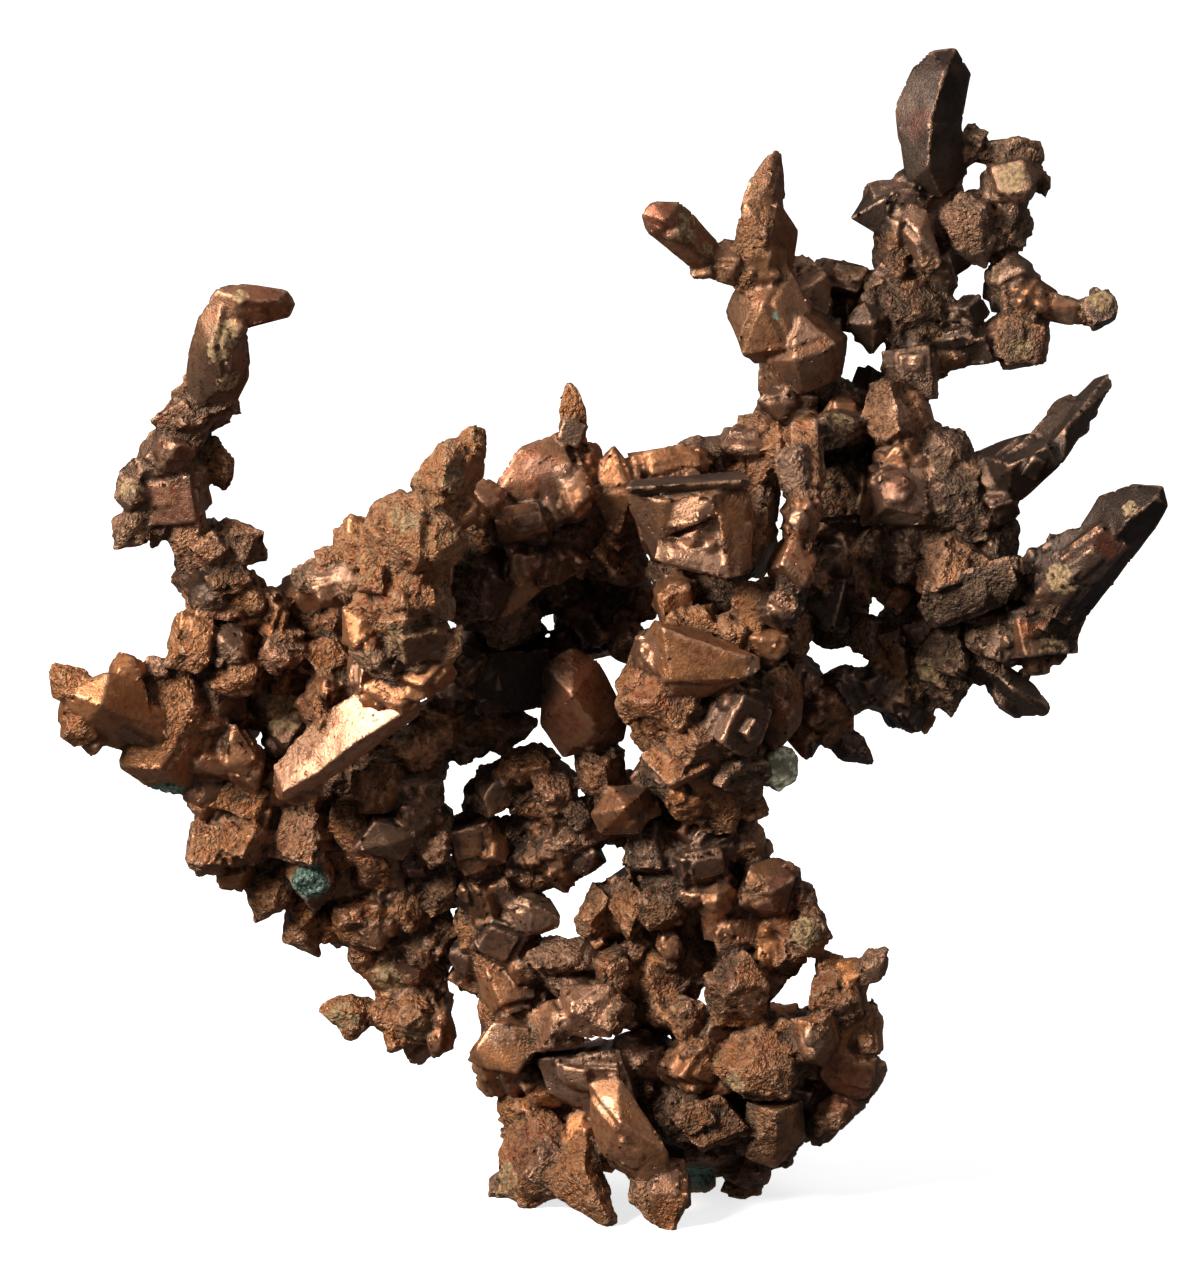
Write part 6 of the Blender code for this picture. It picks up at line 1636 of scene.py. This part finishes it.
stem = (
    (79.5, 41, 1, 2.2), (80, 35.5, 0, 3.2), (77.5, 31.5, -1, 3.4), (76, 26, -1, 2.4), (76.5, 19.5, -1, 1.6),
)
upper_middle_branch_forms = [
    *limb(*stem),
    gem(
        (64, 21.6, -2), (65.2, 20.4, -2), (67.8, 20.4, -2), (69.6, 21.9, -1.5), (71.6, 24.2, -1),
        (72.4, 27.4, -1), (69, 26.8, -1), (66.4, 24.8, -1.5), (64.6, 23.4, -2), (66.6, 22.2, -4),
        (70, 25, -3), (66.8, 22.4, 0.4), (70.6, 25.4, 1.4),
    ),
    *blocks((70.2, 27.2, -1, 2.4, 1.6), (72.9, 26.6, -1, 3, 4)),
    gem(
        (76, 16.6, -1), (77.3, 15.1, -1), (78.1, 15.4, -1), (78.5, 19.8, -1), (76.8, 21.6, -2.6),
        (73.9, 21.4, -1), (74.6, 18.4, -1), (76.9, 18.4, -2.8), (76.4, 20.6, 2), (77.9, 16.4, 1),
    ),
    gem(
        (74.3, 20.4, -2), (77.4, 19.4, -2.4), (79.7, 23.2, -1.5), (79.4, 26.4, -1.5), (76.2, 29.2, -3),
        (73, 27.2, -2), (76.4, 23.8, -4.6), (74.8, 22, 2.2), (78.8, 24, 2.2), (76, 28.2, 2.4),
    ),
    block(75.8, 27.4, -1, 5.6, 4),
    block(77, 31.4, -1, 7.6, 8.8, 8, habit="cuboct"),
    block(80.6, 29.6, 0, 4.8, 6.4),
    block(80.6, 35.2, -2.5, 7.2, 7.8, 7, habit="cuboct"),
    spear((82.4, 34, -1), (84.1, 31.8, -1), 3),
    block(78.6, 40.4, 1, 5.6, 5.2),
    block(83.4, 28.2, 2, 6.6, 3.8, lean=6, habit="worn"),
    block(84.8, 30.8, 3, 4.2, 4.4),
    *growth(*stem, count=9, size=5.4, seed=15),
]
upper_middle_branch_metal = copper(
    "upper_middle_branch_metal",
    tarnish=0.5, rub=0.5, brown=(0.18, 0.08, 0.036, 1), orange=(0.26, 0.108, 0.038, 1),
)
upper_middle_branch = grow(
    "upper_middle_branch", upper_middle_branch_forms, upper_middle_branch_metal, seed=42, grain=0.25,
    crystals=[
        ("warm", 76.9, 18), ("warm", 76.8, 24.4), ("warm", 76.6, 31.6), ("satin", 80.8, 35.4),
        ("satin", 67.4, 22.4),
    ],
    # The black patch is painted shadow.
    spots=[
        ("green", 77.5, 31.6, 0.9), ("tan", 68.5, 22.8, 2), ("tan", 70.6, 25.6, 1.4),
        ("ruddy", 77, 17, 2.4), ("ruddy", 66, 22, 2.4), ("black", 79.6, 38.4, 1.8),
    ],
)
finish(upper_middle_branch, "upper_middle_branch")

# ----------------------------------------------------------------------------------------------------------
# Upper right branch: a tall tower on loops of small crystals, and a hooked tail. Dark grey brown and satin,
# with a little pale crust; its darkness is partly painted shade of the side away from the lamp.

stem = (
    (91.5, 37, 2, 2.4), (91, 31, 2, 3), (92, 25.5, 2, 2.2), (93, 19, 2, 2), (93, 12, 2, 2.2),
)
loop = (
    (94.5, 17, 2, 1.4), (97.2, 14.8, 2, 1.2), (101.4, 15.4, 2, 1.3), (101.6, 19, 2, 1.6), (100.2, 23, 2, 2),
    (96.6, 25, 2, 1.8), (93, 27, 2, 1.8),
)
tail = (
    (92, 36, 3, 2), (98.5, 34.4, 3, 1.6), (102, 32.5, 3, 2.4), (101, 28.4, 3, 1.8), (105, 30.6, 3, 1.7),
    (108.2, 31.2, 3, 1.5), (110.2, 31, 3, 1.5),
)
upper_right_branch_forms = [
    *limb(*stem),
    *limb(*loop),
    *limb(*tail),
    block(90.8, 31.2, 1, 8.4, 6.6, 6),
    spear((87, 30.4, 0), (87, 35.7, 0), 5, belt=-0.2),
    *blocks((87, 28.8, 1, 4.2, 3.6), (90.5, 25.8, 2, 4.4, 5)),
    spear((91.5, 20.6, 2), (84.9, 21.9, 1), 5.4, belt=0.1),
    block(89.4, 20.4, 2, 6.4, 3.8),
    gem(
        (89.3, 20.8, -0.5), (92.6, 21, -1.5), (94.2, 26.4, -2), (92.8, 27.6, -1.5), (90.8, 24.6, 0),
        (91.8, 23.4, -2.8), (90.6, 21.4, 3), (93.4, 26.4, 3),
    ),
    gem(
        (93, 5, 2), (95.6, 4.8, 2), (97.1, 7.4, 2), (96.2, 10, 1), (96, 13.2, 1), (92.6, 15.4, -1),
        (89.8, 14.2, 1), (89.5, 10.8, 2), (91.2, 6.8, 2), (94.4, 7.4, -0.8), (92.8, 12.6, -2.2),
        (94, 7, 4.5), (92.8, 13, 5.5),
    ),
    gem(
        (89.8, 12.8, 1), (93, 12.4, -2.4), (96.1, 12.4, 1), (96.8, 17.4, 1), (94, 19.8, 0),
        (90.6, 18.6, 0.5), (92.8, 16.6, -2.6), (91, 14, 5), (95.4, 17.6, 5),
    ),
    *blocks((97.4, 14, 2, 2.6, 3), (101.4, 15.2, 2, 5.4, 2.6)),
    block(101.4, 18, 1.5, 5.4, 4.6, habit="cuboct"),
    spear((103.4, 16.8, 2), (105.1, 19.6, 2), 2.2),
    block(97, 22.6, 1.5, 5.6, 6),
    spear((97, 22.6, 1.5), (98.4, 27.1, 1.5), 4.6),
    block(99.8, 22.8, 3, 4.8, 5.2, lean=30),
    block(94, 27.2, 2, 3.4, 4),
    block(101.2, 27.6, 3, 4.8, 4.2, lean=30),
    *blocks((102.4, 30.6, 3, 5.2, 5), (102, 34, 3, 4.6, 4.8)),
    *limb((91, 31.5, 2, 1.6), (97, 31.2, 2, 1.3)),
    *blocks((97, 31.2, 2, 3.6, 3.2), (96.6, 34.4, 3, 6, 3.6)),
    spear((100, 34.4, 3), (103.6, 36.5, 3), 4.2, belt=-0.1),
    *blocks((93, 36.2, 3, 3.4, 4.6), (91, 37.4, 2, 5, 5), (110, 31, 3, 2.6, 3.8)),
    spear((110.2, 31, 3), (109.6, 28.6, 3), 1.8),
    *growth(*stem, count=8, size=5, seed=16),
    *growth((100.6, 20, 2, 1.4), (101.6, 31, 3, 2), count=3, size=3.6, seed=17),
]
# Darker, greyer metal: partly painted shade of the side away from the lamp.
upper_right_branch_metal = copper(
    "upper_right_branch_metal",
    tarnish=1.0, rub=0.7, brown=(0.15, 0.085, 0.055, 1), grey=(0.1, 0.078, 0.062, 1),
)
upper_right_branch = grow(
    "upper_right_branch", upper_right_branch_forms, upper_right_branch_metal, seed=43, grain=0.45,
    crystals=[
        ("dark", 93.6, 9), ("dark", 93, 16.4), ("satin", 91.8, 23.6), ("dark", 89, 20.4),
        ("granular", 91, 31.2), ("dark", 97, 31.2), ("granular", 108.6, 31),
    ],
    spots=[
        ("tan", 101.3, 17.8, 1.8), ("tan", 102, 35, 1.6), ("tan", 110, 30, 1.4), ("ruddy", 94.4, 6.6, 3),
        ("ruddy", 92, 12.6, 2.4), ("ruddy", 104.4, 18.4, 1.8), ("ruddy", 90, 30, 3),
    ],
)
finish(upper_right_branch, "upper_right_branch")

# ----------------------------------------------------------------------------------------------------------
# Right mass: a dense mass right of the middle, with a knobbly column standing in front of it. Dark brown,
# partly painted shade of the side away from the lamp, and pink where its front faces are rubbed, with painted
# highlights on them.

stem = (
    (94, 60, 3, 3.2), (92.5, 53, 3, 3.6), (91.5, 46, 2, 3.6), (88, 40.5, 2, 3),
)
column = (
    (80.4, 42.5, -7, 1.8), (80.6, 49, -10, 1.9), (79.6, 55, -11, 1.9), (78.2, 61.5, -11, 2),
)
right_mass_forms = [
    *limb(*stem),
    *limb(*column),
    *limb((86.5, 42, 0, 2.2), (80.6, 44, -6, 2)),
    *blocks(
        (80.8, 43.6, -3, 4, 4.6, 9), (79.4, 46.8, -9, 3.8, 4.8), (80, 51.4, -10.5, 4, 5.2),
        (79, 56.4, -11, 4.8, 5.4), (77.8, 60.8, -11, 4.6, 4), (87.2, 38.8, 2, 4.4, 4),
        (83.2, 39.8, 1, 3.6, 4), (84.4, 42.2, 0, 4.6, 6.2),
    ),
    block(89.2, 41.4, -2, 4.4, 5.8, lean=-15),
    block(90.8, 41.8, 0, 4.4, 5.4),
    block(94.2, 45.6, 1, 5.2, 5.2, habit="cuboct"),
    *blocks(
        (96.9, 46.9, 1, 3.2, 3.6), (90.2, 45.8, -1, 5.4, 4.2), (90, 49.4, -2, 7, 5.8),
        (94.4, 50.4, 0, 6, 5.6),
    ),
    *limb((86.5, 46, 3, 2), (84.2, 52, 4, 2), (90, 55, 3, 2)),
    *blocks(
        (84, 47, 3, 6, 5.2, 7), (83.6, 52.6, 4, 5.4, 5.6, 7), (87.6, 48.6, 3, 5, 6),
        (90.4, 55.2, -1, 6, 5.8), (99.8, 55.2, 2, 3.6, 5.8), (95.4, 56.8, -1, 8.6, 5.2),
    ),
    gem(
        (91.8, 60.6, -4), (92.4, 58.2, -5), (100.8, 55.6, -4), (101.4, 58.2, -4), (100.4, 60.6, -3),
        (93, 63, -3), (92, 61, 3), (100.6, 58, 3), (96, 62, 3),
    ),
    spear((86.8, 52, 1), (88.4, 58.4, 0), 2.8, belt=0),
    *blocks(
        (88.4, 51.8, -3, 2.6, 2.6), (92, 62.6, 2, 5.6, 3.8), (89.7, 58.4, 1.5, 5.2, 6.4),
        (89.6, 55, 0, 4.4, 4.6), (97.2, 51.6, 1.5, 4.8, 5.6), (101, 57.6, 1.5, 3.4, 4),
        (86, 44.4, 4, 6, 5, 7),
    ),
    *limb((84.5, 52.5, 4, 2.4), (83, 57, 3, 2.2), (82, 61.5, 2, 2)),
    block(82.8, 57.2, 2, 5, 6),
    spear((83, 59, 1), (85.6, 57.4, 0), 3),
    block(81.4, 58, -3, 3.2, 3.4),
    block(83, 62.3, 1, 4.9, 4.8, habit="cube"),
    *blocks(
        (82.6, 60.4, -1, 5, 5), (87.2, 63.4, 0.5, 4, 3.4), (85.4, 57.8, 0, 4, 6.6),
        (79, 63.4, -3, 4.4, 5.4), (83.6, 49.6, 0, 5.6, 5.4),
    ),
    spear((86, 55.4, 1), (88, 52.6, 0), 3.2),
    *spur(
        (92, 50, 4, 3.4), (91, 49, 13, 3), (93, 52, 21, 2.2), (95.5, 50, 27, 1.5),
        size=6.4,
    ),
    *spur((87, 45, 4, 2.6), (85, 46, 12, 2.2), (82, 50, 18, 1.6), size=5.4),
    *growth(*stem, count=12, size=6.4, seed=18),
]
# Darker metal: partly painted shade of the side away from the lamp.
right_mass_metal = copper("right_mass_metal", tarnish=0.95, brown=(0.2, 0.1, 0.06, 1))
right_mass = grow(
    "right_mass", right_mass_forms, right_mass_metal, seed=38, grain=0.5,
    crystals=[("granular", 89, 41.4), ("dark", 83, 62.3), ("granular", 95, 56)],
    spots=[
        ("tan", 84.4, 42.5, 1.8), ("painted_highlight_and_rub", 90, 41, 1.6), ("painted_highlight_and_rub", 92, 47, 1.5),
        ("painted_highlight_and_rub", 79.6, 52, 1.3), ("painted_highlight_and_rub", 78, 60.5, 1.6), ("ruddy", 80, 56, 4), ("ruddy", 90, 50, 4),
        ("ruddy", 97, 46, 3),
    ],
)
finish(right_mass, "right_mass")

# ----------------------------------------------------------------------------------------------------------
# Upper right finger: slim, pointing up at the right. Nearly black brown, partly painted shade of the side
# away from the lamp, and rubbed along its edges.
# It shares its metal's values with the other dark branches at the right.

stem = (
    (97, 49, 2, 2.6), (100.5, 47.4, 2, 2.6), (104, 44.6, 1, 2.1), (107.4, 41, 0, 1.9),
)
upper_right_finger_forms = [
    *limb(*stem),
    gem(
        (109.4, 37.9, -1), (111, 37.3, -1), (111.2, 38.7, -1), (109.7, 40.6, 0), (107.6, 44, 0),
        (106, 46.6, 0), (103.8, 45.6, 0), (105.3, 42.8, 0), (107.4, 39.9, 0), (106.4, 42.8, -2.6),
        (109.8, 39.2, -2), (106.4, 43.4, 2.6), (109.8, 39.4, 1.4),
    ),
    gem(
        (96.9, 45.4, 1.5), (100.1, 44.1, 1), (104.9, 42.7, 0), (106.6, 44.6, 0), (105.8, 46.7, 0),
        (103.2, 47.5, 0.5), (100.4, 51.6, 1.5), (97.2, 50.6, 2), (101, 46.6, -2.2), (104.4, 44.8, -2.2),
        (99.4, 48.4, 5), (104.2, 45.4, 3),
    ),
    block(100, 50.6, 1, 3.4, 3.2),
    *growth(*stem, count=4, size=3.4, seed=20),
]
# Darker, greyer metal for the branches at the right: partly painted shade of the side away from the lamp.
painted_shade_metal = dict(tarnish=1.1, rub=0.7, brown=(0.13, 0.075, 0.05, 1), grey=(0.085, 0.066, 0.052, 1))
upper_right_finger_metal = copper("upper_right_finger_metal", **painted_shade_metal)
upper_right_finger = grow(
    "upper_right_finger", upper_right_finger_forms, upper_right_finger_metal, seed=44, grain=0.3,
    crystals=[("dark", 107.8, 42), ("dark", 101, 46.6)],
)
finish(upper_right_finger, "upper_right_finger")

# ----------------------------------------------------------------------------------------------------------
# Right finger: stout, with a short one pointing down beside it. Dark grey brown, partly painted shade of the
# side away from the lamp, with a little pale crust and red where it is thin.

stem = (
    (99.5, 62.5, 2, 2.8), (104.5, 60, 1, 3.2), (108, 56.4, 0, 3), (111.5, 53, -1, 2.6),
)
right_finger_forms = [
    *limb(*stem),
    gem(
        (113, 48.5, -1), (116, 48.7, -1), (116.5, 50.6, -1), (115.3, 52.9, -0.5), (112.4, 56.6, 0),
        (109.2, 56.2, -2), (107.8, 52.6, 0), (109.6, 49.7, 0), (112.4, 52.2, -3.6), (115.2, 50, -2.6),
        (114.4, 50.4, 2), (110.4, 54.4, 3),
    ),
    gem(
        (110.6, 52, 0), (112.6, 56.2, 0), (110.2, 59.6, 0), (107.8, 62.8, 0), (104, 60.6, -2),
        (101.6, 56, 0), (106.2, 53.2, 0), (107.2, 57.6, -3.8), (109.2, 55.4, -3), (105, 57.4, 4.4),
        (109, 58, 4.4),
    ),
    *blocks((105.6, 60.8, 0.5, 5.8, 6.2), (103.6, 63.6, 0.5, 7.4, 4), (99.4, 63.6, 1, 5.4, 5.2)),
    gem(
        (97.4, 65.6, 1), (100.6, 66.4, 0.5), (103.4, 68.4, 0), (105.1, 70.5, 0), (104.7, 71.6, 0),
        (101.6, 71.6, 0.5), (98.8, 69.4, 1), (101.2, 68.8, -2), (100, 67.4, 3.4), (103.2, 70.2, 2.4),
    ),
    spear((99.6, 67.6, 1), (102.4, 71.9, 1), 3.4),
    *blocks((98.6, 66.4, 1.5, 4.4, 4.4), (103.6, 66.2, 1, 2.6, 2.6)),
    *growth(*stem, count=7, size=5.4, seed=21),
]
right_finger_metal = copper("right_finger_metal", **painted_shade_metal)
right_finger = grow(
    "right_finger", right_finger_forms, right_finger_metal, seed=45, grain=0.3,
    crystals=[("dark", 113, 51.6), ("dark", 107, 57.4), ("dark", 102, 69.2)],
    spots=[
        ("tan", 106, 58, 2), ("tan", 105, 64.8, 1.6), ("tan", 112.6, 51, 1.2), ("ruddy", 112, 54, 3),
        ("ruddy", 104, 62, 3),
    ],
)
finish(right_finger, "right_finger")

# ----------------------------------------------------------------------------------------------------------
# Right tail: a fringe of small dark crystals that hangs below the mass at the right; their darkness is partly
# painted shade. One of them is green with copper salts.

stem = (
    (95, 65, 2, 2.4), (90, 67, 2, 2.2), (85.5, 69.4, 1, 2.2), (81.5, 70.8, 0, 1.9),
)
right_tail_forms = [
    *limb(*stem),
    *blocks(
        (89.2, 64.4, 1, 5, 6), (79.2, 68.2, 0, 5.4, 5.6), (94.6, 65, 0.5, 5.6, 5.2),
        (96.4, 62.6, 2.5, 4.4, 3.8),
    ),
    block(85, 69, 0, 6.4, 4, lean=-10),
    *blocks((88.6, 69.4, 1, 4.2, 4), (82.4, 70.8, -1, 5.4, 4)),
    spear((83, 73, 0), (87.5, 76.7, 0), 3.4, belt=0),
    block(83.4, 73, 0, 3, 3.4),
    spear((80.4, 71.6, 0), (80.5, 76.2, 0), 3.6),
    spear((82, 72.6, 0), (82, 74.6, 0), 1.6),
    *blocks((90.6, 68.6, 1, 4.2, 4), (90.6, 71, 1, 4.8, 4.2)),
    spear((91.6, 69.8, 1), (92.8, 73.6, 1), 3),
    spear((93.8, 65, 1), (95.6, 72, 1), 5.4),
    block(92.8, 67, -0.5, 2.4, 2.2),
    *growth(*stem, count=6, size=4.4, seed=22),
]
right_tail_metal = copper("right_tail_metal", **painted_shade_metal)
right_tail = grow(
    "right_tail", right_tail_forms, right_tail_metal, seed=46, grain=0.4,
    spots=[("green", 89.8, 64.7, 1.8), ("tan", 92.8, 67, 1.6)],
)
finish(right_tail, "right_tail")

# ----------------------------------------------------------------------------------------------------------
# Light table, lamps and camera: a pale table that glows a little, one large lamp up at the left and in front,
# and weak ones at the right and above.

table = bpy.data.meshes.new("light_table")
table.from_pydata([(-2.5, -2.5, 0), (2.5, -2.5, 0), (2.5, 2.5, 0), (-2.5, 2.5, 0)], [], [(0, 1, 2, 3)])
light_table = object_from("light_table", table)
glow = bpy.data.materials.new("light_table_glow")
glow.use_nodes = True
glow_shader = glow.node_tree.nodes["Principled BSDF"]
glow_shader.inputs["Base Color"].default_value = (0.8, 0.8, 0.8, 1)
glow_shader.inputs["Roughness"].default_value = 0.7
glow_shader.inputs["Emission Color"].default_value = (1, 1, 1, 1)
glow_shader.inputs["Emission Strength"].default_value = 0.74
light_table.data.materials.append(glow)
light_table.visible_glossy = False
light_table.visible_diffuse = False

aim = place(60.0, 63.35, 0)


def lamp(name, toward, distance, side, power, colour=(1, 1, 1)):
    data = bpy.data.lights.new(name, "AREA")
    data.shape = "SQUARE"
    data.size = side
    data.energy = power
    data.color = colour
    obj = object_from(name, data)
    direction = Vector(toward).normalized()
    obj.location = aim + direction * distance
    obj.rotation_euler = (-direction).to_track_quat("-Z", "Y").to_euler()
    return obj


lamp("key_lamp", (-0.95, -0.66, 0.68), 0.6, 0.20, 8.6, (1.0, 0.97, 0.91))
lamp("side_lamp", (0.9, -0.5, 0.9), 1.3, 0.5, 2.0, (0.95, 0.97, 1.0))
lamp("top_lamp", (0.0, 0.35, 1.0), 1.2, 0.8, 3.0)

world = bpy.data.worlds.new("studio")
world.use_nodes = True
world.node_tree.nodes["Background"].inputs["Color"].default_value = (0.95, 0.97, 1.0, 1)
world.node_tree.nodes["Background"].inputs["Strength"].default_value = 0.13
bpy.context.scene.world = world

CAMERA_DISTANCE = 2.0
FRAME_HEIGHT = 0.1267
lens = bpy.data.cameras.new("camera")
lens.sensor_width = 36
lens.lens = 36 * CAMERA_DISTANCE / FRAME_HEIGHT
lens.clip_end = 50
camera = object_from("camera", lens)
camera.location = aim - AWAY * CAMERA_DISTANCE
camera.rotation_euler = AWAY.to_track_quat("-Z", "Y").to_euler()
bpy.context.scene.camera = camera
bpy.context.scene.view_settings.view_transform = "Standard"
